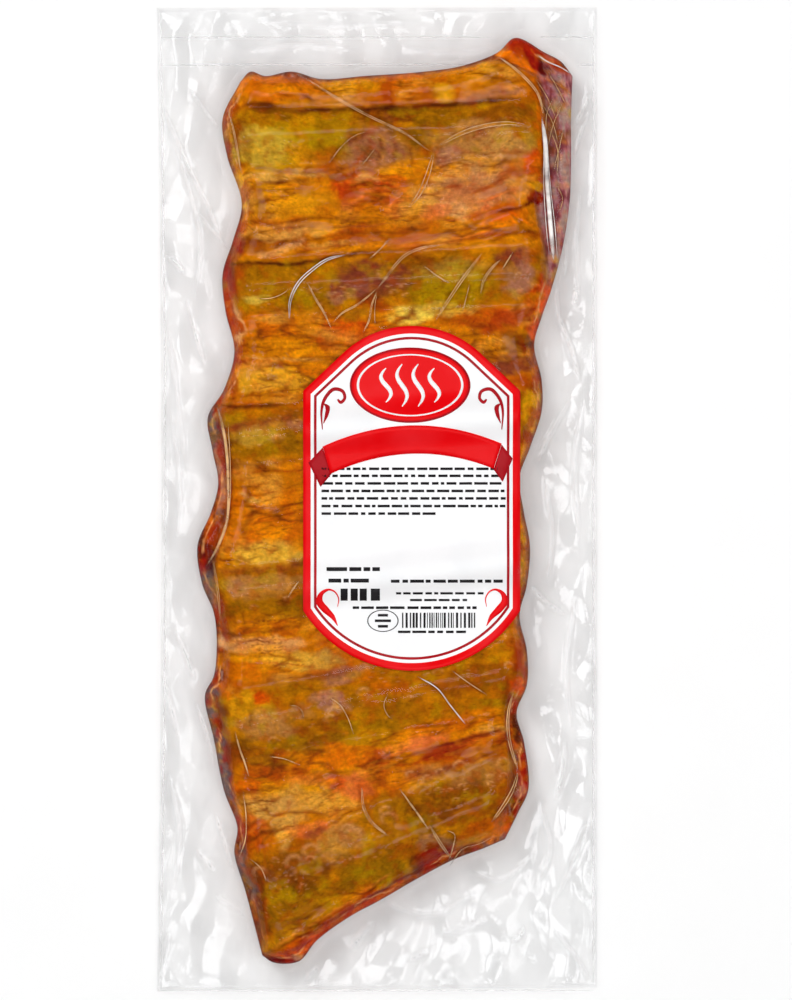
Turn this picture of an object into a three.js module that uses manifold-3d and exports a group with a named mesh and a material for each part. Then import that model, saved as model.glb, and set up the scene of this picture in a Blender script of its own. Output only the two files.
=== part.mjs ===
// Vacuum-packed slab of smoked pork ribs: a clear flat pouch drawn tight round the slab, and a paper label.
// Millimetres, +Z up. The pack lies on its meat side, bone side up, and +Y points to the pouch's sealed top.
// The origin is the middle of the pack's footprint, at the surface that it rests on.
import * as THREE from "three";
import { mergeVertices } from "three/addons/utils/BufferGeometryUtils.js";
import Module from "manifold-3d";

// ---- Driving sizes ----

const pouch = {
  width: 150,
  length: 335,
  skin: 0.6, // both webs of film together, as one stiff sheet
  waist: 1.6, // how far the left edge is drawn in at mid length
  skew: 1.3, // how much higher the bottom edge ends on the right
  rest: 1.3, // height of the free margin over the table
  reach: 15, // how far from the slab the margin takes to come down
  ripple: 0.9, // height of the waves in the margin
};

const slab = {
  seam: 8, // height at which the two webs meet round the slab
  shelf: 13, // top of the meat layer where the bone side stands back from it
  valley: 19.3, // top of the meat between two bones
  shelfRound: 5.5, // width over which each edge rounds off
  panelRound: 8,
  underRound: 10,
  roundness: 2.3, // 1 is a bevel, 2 an ellipse, more is squarer
};

// Each bone runs across the slab from its left end to its right end. It is a ridge that is twice half wide and
// stands rise over the valleys.
const bones = [
  { left: [-52, 122.5], right: [58, 126.5], half: 11, rise: 3.6 },
  { left: [-52.5, 71.5], right: [58.5, 76.5], half: 11, rise: 4.2 },
  { left: [-57, 21.5], right: [56, 29], half: 10.5, rise: 4.0 },
  { left: [-59.5, -33], right: [52, -20.5], half: 10.5, rise: 3.8 },
  { left: [-56.5, -78], right: [50.5, -58], half: 13, rise: 4.2 },
  { left: [-45, -134], right: [50.5, -97], half: 14, rise: 4.4 },
];

// The slab's four edges in plan, from corner to corner: [x, y, inset]. The sides bulge at the cut bone ends and
// dip between them. inset is how far the bone side stands back from the meat's own edge there.
const edges = {
  left: [
    [-46.5, 142, 0.6], [-52.5, 129.5, 0.6], [-51, 117, 1], [-46, 100.5, 1], [-49, 88, 1],
    [-52.5, 76.5, 1.6], [-51.5, 64, 2.4], [-48.5, 50.5, 1], [-52, 37.5, 1], [-57.5, 28, 4],
    [-56, 17, 4.4], [-54, 5.5, 3.4], [-56.5, -4.5, 5], [-61, -15.5, 6.6], [-59.5, -28.5, 2.4],
    [-55.5, -38.5, 2], [-54.5, -48.5, 3], [-55.5, -60, 4], [-58.5, -66.5, 4.4], [-55.5, -81.5, 4],
    [-52, -99, 2.6], [-47.5, -111.5, 1.6], [-48.5, -120, 3], [-44.5, -134, 2.6], [-39, -155, 1.4],
  ],
  right: [
    [66.5, 144, 11.5], [66, 130, 8.4], [66, 115, 8.4], [65.5, 101, 11.2], [63, 85, 5.8],
    [59, 70.5, 1], [56, 62, 0.8], [53.5, 52.5, 1.4], [56, 40.5, 1.4], [56, 30, 1],
    [52.6, 17.5, 1], [51, 7.5, 1], [51.2, -4.5, 1], [52, -15.5, 1], [51.5, -29, 1],
    [50.8, -39.5, 1.6], [51, -51.5, 1], [51, -63, 1.6], [47.5, -72.5, 3], [50, -82.5, 5],
    [51.5, -98.5, 5.4], [48, -106.5, 4.6], [43.5, -115.5, 2.6],
  ],
  top: [
    [-46.5, 142, 0.6], [-43, 145.5, 1], [-38, 144, 1], [-29, 145.5, 2.4], [-19, 143, 1],
    [-4.5, 144, 0.8], [16, 145.5, 0.8], [29, 147.5, 0.8], [41, 152, 2.6], [47, 157, 9.6],
    [57, 152, 9], [62.5, 149, 8], [66.5, 144, 7],
  ],
  bottom: [
    [-39, -155, 1], [-35, -157.5, 2.6], [-26.5, -157, 4], [-20.5, -150, 2.4], [-9.5, -142, 2],
    [1.5, -136, 2.6], [14.5, -128.5, 3.4], [26, -122.5, 3.6], [36.5, -118.5, 2.6], [43.5, -115.5, 2],
  ],
};
const inward = { left: [1, 0], right: [-1, 0], top: [0, -1], bottom: [0, 1] };

// The label: a straight-sided sheet with an arched top on two chamfered shoulders, and a round bottom.
const label = {
  centre: [11.8, 0.6],
  halfWidth: 36.8,
  shoulderY: 36.2, // where the straight sides end, above and below the centre
  footY: -38.2,
  topRise: 22,
  topRadius: 34,
  footRise: 20.4,
  thickness: 0.4,
  lift: 0.3, // gap to the pouch
  least: 18, // it bridges whatever dips lower than this, and holds the film up with it
  hold: 3, // how far past the label the film takes to fall back to the slab
};

const grid = {
  across: 28,
  along: 76,
  crowding: 0.4, // how much the grid lines gather at the slab's edges, 0 to 1
  marginRows: [0, 0.1, 0.28, 0.58, 1], // from the slab's rim to the pouch's edge
  footRows: 3,
};

// ---- Plan outlines ----

// A smooth curve through [x, y, inset] points; setBack 0 is the meat's edge and 1 the bone side's.
function edgeCurve(side, setBack) {
  const [ix, iy] = inward[side];
  const points = edges[side].map(([x, y, inset]) =>
    new THREE.Vector3(x + ix * inset * setBack, y + iy * inset * setBack, 0));
  return new THREE.CatmullRomCurve3(points, false, "centripetal");
}

// A closed polygon as pairs of neighbouring corners.
function pairs(loop) {
  const corners = loop.filter((p, i) => p.distanceTo(loop[(i + 1) % loop.length]) > 0.01);
  return corners.map((p, i) => [p, corners[(i + 1) % corners.length]]);
}

// The polygon of one layer of the slab.
function outline(setBack, steps = 4) {
  const run = (side) => edgeCurve(side, setBack).getPoints((edges[side].length - 1) * steps);
  return pairs([...run("top"), ...run("right"), ...run("bottom").reverse(), ...run("left").reverse()]);
}

const meatOutline = outline(0);
const panelOutline = outline(1);

// Distance from (x, y) to a polygon, positive inside it.
function inside(polygon, x, y) {
  let nearest = Infinity;
  let within = false;
  for (const [a, b] of polygon) {
    const dx = b.x - a.x;
    const dy = b.y - a.y;
    const t = THREE.MathUtils.clamp(((x - a.x) * dx + (y - a.y) * dy) / (dx * dx + dy * dy), 0, 1);
    nearest = Math.min(nearest, Math.hypot(x - a.x - t * dx, y - a.y - t * dy));
    if (a.y > y !== b.y > y && x < a.x + ((y - a.y) / dy) * dx) within = !within;
  }
  return within ? nearest : -nearest;
}

// The half angle of the label's arch, whose ends run on into the straight shoulders without a corner: the a for
// which topRise = topRadius (1 - cos a) + (halfWidth - topRadius sin a) tan a, found by halving.
function archAngle() {
  let low = 0;
  let high = Math.PI / 2.2;
  for (let step = 0; step < 40; step++) {
    const a = (low + high) / 2;
    const shoulderRise = (label.halfWidth - label.topRadius * Math.sin(a)) * Math.tan(a);
    if (label.topRadius * (1 - Math.cos(a)) + shoulderRise > label.topRise) high = a;
    else low = a;
  }
  return low;
}

// The label's outline in plan, about its centre, anticlockwise from the foot of its right side.
function labelShape() {
  const { halfWidth, shoulderY, footY, topRise, topRadius, footRise } = label;
  const footRadius = (halfWidth ** 2 + footRise ** 2) / (2 * footRise);
  const footAngle = Math.asin(halfWidth / footRadius);
  const arch = archAngle();
  const up = Math.PI / 2;
  const shape = new THREE.Shape();
  shape.moveTo(halfWidth, footY);
  shape.lineTo(halfWidth, shoulderY);
  shape.absarc(0, shoulderY + topRise - topRadius, topRadius, up - arch, up + arch, false);
  shape.lineTo(-halfWidth, shoulderY);
  shape.lineTo(-halfWidth, footY);
  shape.absarc(0, footY - footRise + footRadius, footRadius, -up - footAngle, -up + footAngle, false);
  return shape;
}

const labelOutline = pairs(labelShape().getPoints(14));

// ---- Heights ----

// 0 at an edge, 1 once depth is past width, along a superellipse.
function rounded(depth, width) {
  const left = 1 - THREE.MathUtils.clamp(depth / width, 0, 1);
  return Math.pow(1 - Math.pow(left, slab.roundness), 1 / slab.roundness);
}

// How far the bones lift the surface at (x, y): a raised cosine across each bone's line.
function boneRise(x, y) {
  let rise = 0;
  for (const { left, right, half, rise: height } of bones) {
    const slope = (right[1] - left[1]) / (right[0] - left[0]);
    const off = (y - left[1] - slope * (x - left[0])) / Math.hypot(1, slope) / half;
    if (Math.abs(off) < 1) rise += height * (0.5 + 0.5 * Math.cos(Math.PI * off));
  }
  return rise;
}

// Long swells of the slab, a little thicker along its middle.
function swell(x, y) {
  return 0.7 * Math.cos(x / 38) + 0.5 * Math.sin(y / 31 + x / 47);
}

function marginHeight(x, y, away) {
  const calm = 1 - Math.exp(-away / 14);
  const wave = Math.sin(x / 6.5 + 1.7 * Math.sin(y / 37)) * Math.sin(y / 9.3 + x / 15) * 0.5 + 0.5;
  return pouch.rest + (slab.seam - pouch.rest) * Math.exp(-away / pouch.reach) + pouch.ripple * calm * wave;
}

function topHeight(x, y) {
  const depth = inside(meatOutline, x, y);
  if (depth <= 0) return marginHeight(x, y, -depth);
  const shelf = (slab.shelf - slab.seam) * rounded(depth, slab.shelfRound);
  const full = slab.valley + boneRise(x, y) + swell(x, y) - slab.shelf;
  const drawn = slab.seam + shelf + full * rounded(inside(panelOutline, x, y), slab.panelRound);
  const cover = inside(labelOutline, x - label.centre[0], y - label.centre[1]);
  const held = THREE.MathUtils.smoothstep(cover, -label.hold, 0.5);
  return Math.max(drawn, THREE.MathUtils.lerp(drawn, label.least, held));
}

function underHeight(x, y) {
  const depth = inside(meatOutline, x, y);
  if (depth <= 0) return marginHeight(x, y, -depth);
  return slab.seam * (1 - rounded(depth, slab.underRound));
}

// ---- The pouch with the slab in it ----

// Even steps from 0 to 1, crowded towards both ends, where the slab's edge rounds off.
function crowded(count) {
  return Array.from({ length: count + 1 }, (_, i) => {
    const t = i / count;
    return THREE.MathUtils.lerp(t, 0.5 - 0.5 * Math.cos(Math.PI * t), grid.crowding);
  });
}

// A point of the slab's plan from u, across, and v, along: a Coons patch between its four edge curves.
function slabPlan() {
  const [left, right, top, bottom] = ["left", "right", "top", "bottom"].map((side) => edgeCurve(side, 0));
  const corner = { tl: top.getPoint(0), tr: top.getPoint(1), bl: bottom.getPoint(0), br: bottom.getPoint(1) };
  return (u, v) => {
    const point = left.getPointAt(v).multiplyScalar(1 - u);
    point.addScaledVector(right.getPointAt(v), u);
    point.addScaledVector(top.getPointAt(u), 1 - v).addScaledVector(bottom.getPointAt(u), v);
    point.addScaledVector(corner.tl, -(1 - u) * (1 - v)).addScaledVector(corner.tr, -u * (1 - v));
    return point.addScaledVector(corner.bl, -(1 - u) * v).addScaledVector(corner.br, -u * v);
  };
}

// The point of the pouch's own edge that stands over the same u and v.
function pouchEdge(u, v) {
  const y = pouch.length * (0.5 - v) + pouch.skew * u * v;
  const waist = pouch.waist * Math.sin(Math.PI * v);
  const left = -pouch.width / 2 + waist;
  return new THREE.Vector3(THREE.MathUtils.lerp(left, pouch.width / 2, u), y, 0);
}

const plan = slabPlan();
const us = crowded(grid.across);
const vs = crowded(grid.along);

function pouchGeometry() {
  const positions = [];
  const faces = [];
  const place = (p, z) => positions.push(p.x, p.y, z) / 3 - 1;
  const quad = (a, b, c, d) => faces.push(a, b, c, a, c, d);

  // Bone side: a grid over the whole slab. Its rim sits half a skin over the seam.
  const top = vs.map((v, j) => us.map((u, i) => {
    const p = plan(u, v);
    const rim = i === 0 || j === 0 || i === grid.across || j === grid.along;
    return place(p, rim ? slab.seam + pouch.skin / 2 : topHeight(p.x, p.y) + pouch.skin / 2);
  }));
  for (let j = 0; j < grid.along; j++)
    for (let i = 0; i < grid.across; i++)
      quad(top[j][i], top[j + 1][i], top[j + 1][i + 1], top[j][i + 1]);

  // The rim as one loop of grid places, anticlockwise from above, starting at the top left corner.
  const loopAt = (ring) => {
    const [a, b, c, d] = [ring, grid.along - ring, ring, grid.across - ring];
    const loop = [];
    for (let j = a; j < b; j++) loop.push([c, j]);
    for (let i = c; i < d; i++) loop.push([i, b]);
    for (let j = b; j > a; j--) loop.push([d, j]);
    for (let i = d; i > c; i--) loop.push([i, a]);
    return loop;
  };
  const rim = loopAt(0);

  // A band of quads between two loops of vertices.
  const band = (inner, outer, faceUp) =>
    inner.forEach((_, k) => {
      const n = (k + 1) % inner.length;
      if (faceUp) quad(inner[k], outer[k], outer[n], inner[n]);
      else quad(inner[k], inner[n], outer[n], outer[k]);
    });

  // The flat margin, from the rim out to the pouch's edge, on the upper or the lower face.
  const margin = (side) => grid.marginRows.map((s) => rim.map(([i, j]) => {
    const from = plan(us[i], vs[j]);
    const p = from.clone().lerp(pouchEdge(us[i], vs[j]), s);
    const away = Math.max(0, -inside(meatOutline, p.x, p.y));
    const middle = s === 0 ? slab.seam : marginHeight(p.x, p.y, away);
    return s === 0 && side > 0 ? top[j][i] : place(p, middle + (side * pouch.skin) / 2);
  }));
  const upper = margin(1);
  const lower = margin(-1);
  for (let k = 0; k + 1 < grid.marginRows.length; k++) {
    band(upper[k], upper[k + 1], true);
    band(lower[k], lower[k + 1], false);
  }
  band(upper.at(-1), lower.at(-1), true);

  // Meat side: it rounds in from the rim to the flat that the pack lies on.
  let previous = lower[0];
  let foot = [];
  for (let ring = 1; ring <= grid.footRows; ring++) {
    foot = loopAt(ring).map(([i, j]) => plan(us[i], vs[j]));
    const last = ring === grid.footRows;
    const next = foot.map((p) => place(p, last ? 0 : underHeight(p.x, p.y)));
    stitch(previous, next, positions, faces);
    previous = next;
  }
  const flat = THREE.ShapeUtils.triangulateShape(foot.map((p) => new THREE.Vector2(p.x, p.y)), []);
  for (const [a, b, c] of flat) faces.push(previous[a], previous[c], previous[b]);

  return meshGeometry(positions, faces);
}

// Joins a loop to the smaller loop inside it, seen from below, by the shorter diagonal each time.
function stitch(outer, inner, positions, faces) {
  const at = (k) => new THREE.Vector3().fromArray(positions, 3 * k);
  const far = (a, b) => at(a).distanceToSquared(at(b));
  let i = 0;
  let o = 0;
  while (i < inner.length || o < outer.length) {
    const a = outer[o % outer.length];
    const b = inner[i % inner.length];
    const nextOuter = outer[(o + 1) % outer.length];
    const nextInner = inner[(i + 1) % inner.length];
    const stepOuter = i >= inner.length || (o < outer.length && far(nextOuter, b) <= far(nextInner, a));
    if (stepOuter) {
      faces.push(a, b, nextOuter);
      o++;
    } else {
      faces.push(a, b, nextInner);
      i++;
    }
  }
}

const wasm = await Module();
wasm.setup();

function solid(geometry) {
  const bare = geometry.clone().deleteAttribute("normal").deleteAttribute("uv");
  const merged = mergeVertices(bare, 1e-4);
  const vertProperties = merged.attributes.position.array;
  const triVerts = new Uint32Array(merged.index.array);
  return new wasm.Manifold(new wasm.Mesh({ numProp: 3, vertProperties, triVerts }));
}

function meshGeometry(positions, faces) {
  const geometry = new THREE.BufferGeometry();
  geometry.setAttribute("position", new THREE.Float32BufferAttribute(positions, 3));
  geometry.setIndex(faces);
  geometry.computeVertexNormals();
  return geometry;
}

// ---- The label ----

// A sheet over every part of the pouch's grid that the label can touch, with the same facets as the pouch.
function sheetGeometry() {
  const { centre, halfWidth, shoulderY, footY, topRise, footRise, lift, thickness } = label;
  const reach = [halfWidth + 6, Math.max(shoulderY + topRise, footRise - footY) + 6];
  const near = (p) => Math.abs(p.x - centre[0]) < reach[0] && Math.abs(p.y - centre[1]) < reach[1];
  const rows = vs.map((v, j) => j).filter((j) => us.some((u) => near(plan(u, vs[j]))));
  const columns = us.map((u, i) => i).filter((i) => rows.some((j) => near(plan(us[i], vs[j]))));
  const positions = [];
  const faces = [];
  const quad = (a, b, c, d) => faces.push(a, b, c, a, c, d);
  const face = (offset) => rows.map((j) => columns.map((i) => {
    const p = plan(us[i], vs[j]);
    return positions.push(p.x, p.y, topHeight(p.x, p.y) + pouch.skin / 2 + offset) / 3 - 1;
  }));
  const upper = face(lift + thickness);
  const lower = face(lift);
  const lastRow = rows.length - 1;
  const lastColumn = columns.length - 1;
  for (let j = 0; j < lastRow; j++)
    for (let i = 0; i < lastColumn; i++) {
      quad(upper[j][i], upper[j + 1][i], upper[j + 1][i + 1], upper[j][i + 1]);
      faces.push(lower[j][i], lower[j + 1][i + 1], lower[j + 1][i]);
      faces.push(lower[j][i], lower[j][i + 1], lower[j + 1][i + 1]);
    }
  for (let j = 0; j < lastRow; j++) {
    quad(upper[j][0], lower[j][0], lower[j + 1][0], upper[j + 1][0]);
    quad(upper[j + 1][lastColumn], lower[j + 1][lastColumn], lower[j][lastColumn], upper[j][lastColumn]);
  }
  for (let i = 0; i < lastColumn; i++) {
    quad(upper[0][i + 1], lower[0][i + 1], lower[0][i], upper[0][i]);
    quad(upper[lastRow][i], lower[lastRow][i], lower[lastRow][i + 1], upper[lastRow][i + 1]);
  }
  return meshGeometry(positions, faces);
}

// The label is that sheet, cut to the outline by an upright prism.
function labelGeometry() {
  const prismShape = { depth: 60, bevelEnabled: false, curveSegments: 14 };
  const prism = new THREE.ExtrudeGeometry(labelShape(), prismShape);
  prism.translate(label.centre[0], label.centre[1], 0);
  const cut = solid(sheetGeometry()).intersect(solid(prism)).getMesh();
  return meshGeometry(Array.from(cut.vertProperties), Array.from(cut.triVerts));
}

// ---- The part ----

function named(name, geometry, material) {
  const mesh = new THREE.Mesh(geometry, new THREE.MeshStandardMaterial(material));
  mesh.name = name;
  return mesh;
}

const pack = new THREE.Group();
pack.add(
  named("sealed_pouch", pouchGeometry(), { color: 0xb8690f, roughness: 0.25, metalness: 0 }),
  named("label", labelGeometry(), { color: 0xe8e4e4, roughness: 0.4, metalness: 0 }),
);

export default pack;
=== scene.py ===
import math
import bpy
import numpy as np
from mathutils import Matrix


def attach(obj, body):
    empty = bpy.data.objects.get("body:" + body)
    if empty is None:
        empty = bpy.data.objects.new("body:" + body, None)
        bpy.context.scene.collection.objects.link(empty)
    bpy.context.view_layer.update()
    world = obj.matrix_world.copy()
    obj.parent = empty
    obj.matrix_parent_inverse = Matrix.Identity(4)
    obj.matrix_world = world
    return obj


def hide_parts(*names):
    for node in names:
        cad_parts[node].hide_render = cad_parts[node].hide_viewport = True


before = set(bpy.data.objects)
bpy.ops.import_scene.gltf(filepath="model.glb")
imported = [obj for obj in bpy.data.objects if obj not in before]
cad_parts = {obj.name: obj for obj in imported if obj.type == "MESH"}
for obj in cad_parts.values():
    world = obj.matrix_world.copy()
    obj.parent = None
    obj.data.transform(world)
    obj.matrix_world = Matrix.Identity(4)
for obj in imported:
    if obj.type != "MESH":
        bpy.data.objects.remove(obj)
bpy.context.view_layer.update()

# Everything below is worked out in millimetres in the frame's axes and put into the meshes in metres.
mm = 0.001
mmPerPixel = 150 / 440  # the pouch is 150 mm wide and 440 pixels in the photo
photoMiddle = (377, 499.5)  # the pixel over the frame's origin
photoSize = (792, 1000)
everyOther = (slice(None, None, 2), slice(None, None, 2))  # every second point of a grid, both ways
inside = (slice(1, -1), slice(1, -1))  # a grid without its rim

pouch = {
    "width": 150, "length": 335, "waist": 1.6, "skew": 1.3,  # the left edge is drawn in, the bottom one rises
    "rest": 1.3, "reach": 15,  # height of the margin, and how it comes down to it
    "ripple": 0.9, "calm": 14, "waves": (6.5, 37, 9.3, 15),  # its waves, where they start and their lengths
}
slab = {
    "seam": 8, "shelf": 13, "valley": 19.3,
    "swells": (0.7, 38, 0.5, 31, 47),  # low swells of the bone side: height and length, height and lengths
    "shelfRound": 5.5, "panelRound": 8, "underRound": 10, "roundness": 2.3,
}
# each bone: left end, right end, half width, rise over the valleys
bones = [
    ((-52, 122.5), (58, 126.5), 11, 3.6),
    ((-52.5, 71.5), (58.5, 76.5), 11, 4.2),
    ((-57, 21.5), (56, 29), 10.5, 4.0),
    ((-59.5, -33), (52, -20.5), 10.5, 3.8),
    ((-56.5, -78), (50.5, -58), 13, 4.2),
    ((-45, -134), (50.5, -97), 14, 4.4),
]
# the slab's edges in plan: x, y and how far the bone side stands back
edges = {
    "left": [
        (-46.5, 142, 0.6), (-52.5, 129.5, 0.6), (-51, 117, 1), (-46, 100.5, 1), (-49, 88, 1),
        (-52.5, 76.5, 1.6), (-51.5, 64, 2.4), (-48.5, 50.5, 1), (-52, 37.5, 1), (-57.5, 28, 4),
        (-56, 17, 4.4), (-54, 5.5, 3.4), (-56.5, -4.5, 5), (-61, -15.5, 6.6), (-59.5, -28.5, 2.4),
        (-55.5, -38.5, 2), (-54.5, -48.5, 3), (-55.5, -60, 4), (-58.5, -66.5, 4.4), (-55.5, -81.5, 4),
        (-52, -99, 2.6), (-47.5, -111.5, 1.6), (-48.5, -120, 3), (-44.5, -134, 2.6), (-39, -155, 1.4),
    ],
    "right": [
        (66.5, 144, 11.5), (66, 130, 8.4), (66, 115, 8.4), (65.5, 101, 11.2), (63, 85, 5.8),
        (59, 70.5, 1), (56, 62, 0.8), (53.5, 52.5, 1.4), (56, 40.5, 1.4), (56, 30, 1),
        (52, 17.5, 1), (48.5, 7.5, 1), (50, -4.5, 1), (52, -15.5, 1), (51, -29, 1),
        (48.5, -39.5, 1.6), (51, -51.5, 1), (51, -63, 1.6), (47.5, -72.5, 3), (50, -82.5, 5),
        (51.5, -98.5, 5.4), (48, -106.5, 4.6), (43.5, -115.5, 2.6),
    ],
    "top": [
        (-46.5, 142, 0.6), (-43, 145.5, 1), (-38, 144, 1), (-29, 145.5, 2.4), (-19, 143, 1),
        (-4.5, 144, 0.8), (16, 145.5, 0.8), (29, 147.5, 0.8), (41, 152, 2.6), (47, 157, 9.6),
        (57, 152, 9), (62.5, 149, 8), (66.5, 144, 7),
    ],
    "bottom": [
        (-39, -155, 1), (-35, -157.5, 2.6), (-26.5, -157, 4), (-20.5, -150, 2.4), (-9.5, -142, 2),
        (1.5, -136, 2.6), (14.5, -128.5, 3.4), (26, -122.5, 3.6), (36.5, -118.5, 2.6), (43.5, -115.5, 2),
    ],
}
inward = {"left": (1, 0), "right": (-1, 0), "top": (0, -1), "bottom": (0, 1)}
label = {
    "centre": (11.8, 0.6), "halfWidth": 36.8, "shoulderY": 36.2, "footY": -38.2,
    "topRise": 22, "topRadius": 34, "footRise": 20.4,
    "least": 18, "hold": 3,  # it bridges what dips lower, and lets go this far past its edge
    "lift": 0.62, "thickness": 0.25, "crinkle": 0.1, "cell": 1.3, "inkStep": 0.12,
    "blend": 1.6,  # how wide the bend is where it leaves the meat
    "bands": (2.6, 3.7, 4.6),  # where red, white and dark red end, inwards from the edge
    "oval": (30, 44), "rings": 48,  # what the white field's rings grow round towards, and how many there are
}


def fromPhoto(points):  # pixels to millimetres in plan
    p = np.asarray(points, float)
    return (p[..., :2] - photoMiddle) * (mmPerPixel, -mmPerPixel)


def pairs(numbers):  # x and y by turns, as points
    return np.reshape(numbers, (-1, 2))


def curveThrough(points, steps):
    # centripetal Catmull-Rom: each span is a cubic, and its end slopes come from the neighbouring
    # points, weighed by the square roots of the chords
    p = np.asarray(points, float)
    p = np.concatenate([[2 * p[0] - p[1]], p, [2 * p[-1] - p[-2]]])
    chord = np.sqrt(np.maximum(np.linalg.norm(np.diff(p[:, :2], axis=0), axis=1), 1e-6))
    d0, d1, d2 = chord[:-2, None], chord[1:-1, None], chord[2:, None]
    a, b, c, d = p[:-3], p[1:-2], p[2:-1], p[3:]
    m1 = ((b - a) / d0 - (c - a) / (d0 + d1) + (c - b) / d1) * d1
    m2 = ((c - b) / d1 - (d - b) / (d1 + d2) + (d - c) / d2) * d1
    b, c, m1, m2 = (q[:, None, :] for q in (b, c, m1, m2))
    t = np.linspace(0, 1, steps, endpoint=False)[None, :, None]
    spans = b + m1 * t + (3 * (c - b) - 2 * m1 - m2) * t**2 + (2 * (b - c) + m1 + m2) * t**3
    return np.concatenate([spans.reshape(-1, p.shape[1]), p[-2:-1]])


def atShare(curve, share):  # the points at shares 0 to 1 of a curve's length
    step = np.linalg.norm(np.diff(curve[:, :2], axis=0), axis=1)
    run = np.concatenate([[0], np.cumsum(step)])
    return np.stack([np.interp(share * run[-1], run, column) for column in curve.T], -1)


def sideways(path):  # the unit vector to the left of a path's heading, at each of its points
    heading = np.gradient(path, axis=0)
    heading /= np.linalg.norm(heading, axis=1)[:, None]
    return np.stack([-heading[:, 1], heading[:, 0]], -1)


def fromEnds(count, gain):  # along a row of points: 0 at both ends, 1 once past 1 / gain of the length
    share = np.linspace(0, 1, count)
    return np.clip(np.minimum(share, 1 - share) * gain, 0, 1)


def insideBy(polygon, x, y):
    # distance to the nearest side of a closed polygon, positive within it
    nearest = np.full(x.shape, np.inf)
    within = np.zeros(x.shape, bool)
    for (ax, ay), (bx, by) in zip(polygon, np.roll(polygon, -1, 0)):
        dx, dy = bx - ax, by - ay
        square = dx * dx + dy * dy
        if square < 1e-4:
            continue
        t = np.clip(((x - ax) * dx + (y - ay) * dy) / square, 0, 1)
        nearest = np.minimum(nearest, np.hypot(x - ax - t * dx, y - ay - t * dy))
        if dy:
            within ^= ((ay > y) != (by > y)) & (x < ax + (y - ay) / dy * dx)
    return np.where(within, nearest, -nearest)


def strokeOff(points, x, y, reach):
    # distance to an open polyline, positive on its left, and the share of its length alongside. It is
    # worked out within reach of the line's box, and stays at a thousand outside it.
    p = np.asarray(points, float)
    (west, south), (east, north) = p.min(0) - reach, p.max(0) + reach
    near = (x > west) & (x < east) & (y > south) & (y < north)
    u, v = x[near], y[near]
    step = np.linalg.norm(np.diff(p, axis=0), axis=1)
    run = np.concatenate([[0], np.cumsum(step)])
    nearest, share = np.full(u.shape, 1e3), np.zeros(u.shape)
    for k, ((ax, ay), (bx, by)) in enumerate(zip(p[:-1], p[1:])):
        dx, dy = bx - ax, by - ay
        t = np.clip(((u - ax) * dx + (v - ay) * dy) / (dx * dx + dy * dy), 0, 1)
        off = np.hypot(u - ax - t * dx, v - ay - t * dy)
        side = np.where(dx * (v - ay) - dy * (u - ax) < 0, -1, 1)
        closer = off < np.abs(nearest)
        nearest = np.where(closer, off * side, nearest)
        share = np.where(closer, (run[k] + t * step[k]) / run[-1], share)
    everywhere = np.full(x.shape, 1e3), np.zeros(x.shape)
    for whole, part in zip(everywhere, (nearest, share)):
        whole[near] = part
    return everywhere


def smooth(low, high, value):  # 0 below low, 1 above high, an S between them
    t = np.clip((value - low) / (high - low), 0, 1)
    return t * t * (3 - 2 * t)


def grain(x, y, seed):
    # gradient noise, about -1 to 1: every lattice point has a random slope, blended by a quintic
    period = 97
    angle = np.random.default_rng(seed).uniform(0, 2 * np.pi, (period, period))
    xi, yi = np.floor(x).astype(int), np.floor(y).astype(int)
    fx, fy = x - xi, y - yi
    u, v = (f**3 * (f * (f * 6 - 15) + 10) for f in (fx, fy))

    def corner(i, j):
        a = angle[(xi + i) % period, (yi + j) % period]
        return np.cos(a) * (fx - i) + np.sin(a) * (fy - j)

    low = corner(0, 0) * (1 - u) + corner(1, 0) * u
    high = corner(0, 1) * (1 - u) + corner(1, 1) * u
    return 1.5 * (low * (1 - v) + high * v)


def cloud(x, y, size, seed, octaves=4, keep=0.55):
    # octaves of that noise, each twice as fine as the last and keep times as strong
    total, strength = 0, 1
    for k in range(octaves):
        total = total + strength * grain(x / size * 2**k + 7.3 * k, y / size * 2**k - 3.1 * k, seed + k)
        strength *= keep
    return total


def wedge(t):  # triangle wave of period 1 between -1 and 1
    return 4 * np.abs(t - np.floor(t + 0.5)) - 1


def slabEdge(side, back, steps):
    points = [(x + inward[side][0] * inset * back, y + inward[side][1] * inset * back)
              for x, y, inset in edges[side]]
    return curveThrough(points, steps)


def slabOutline(back):
    top, right, bottom, left = (slabEdge(side, back, 4) for side in ("top", "right", "bottom", "left"))
    return np.concatenate([top[:-1], right, bottom[::-1][1:], left[::-1][1:-1]])


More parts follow.
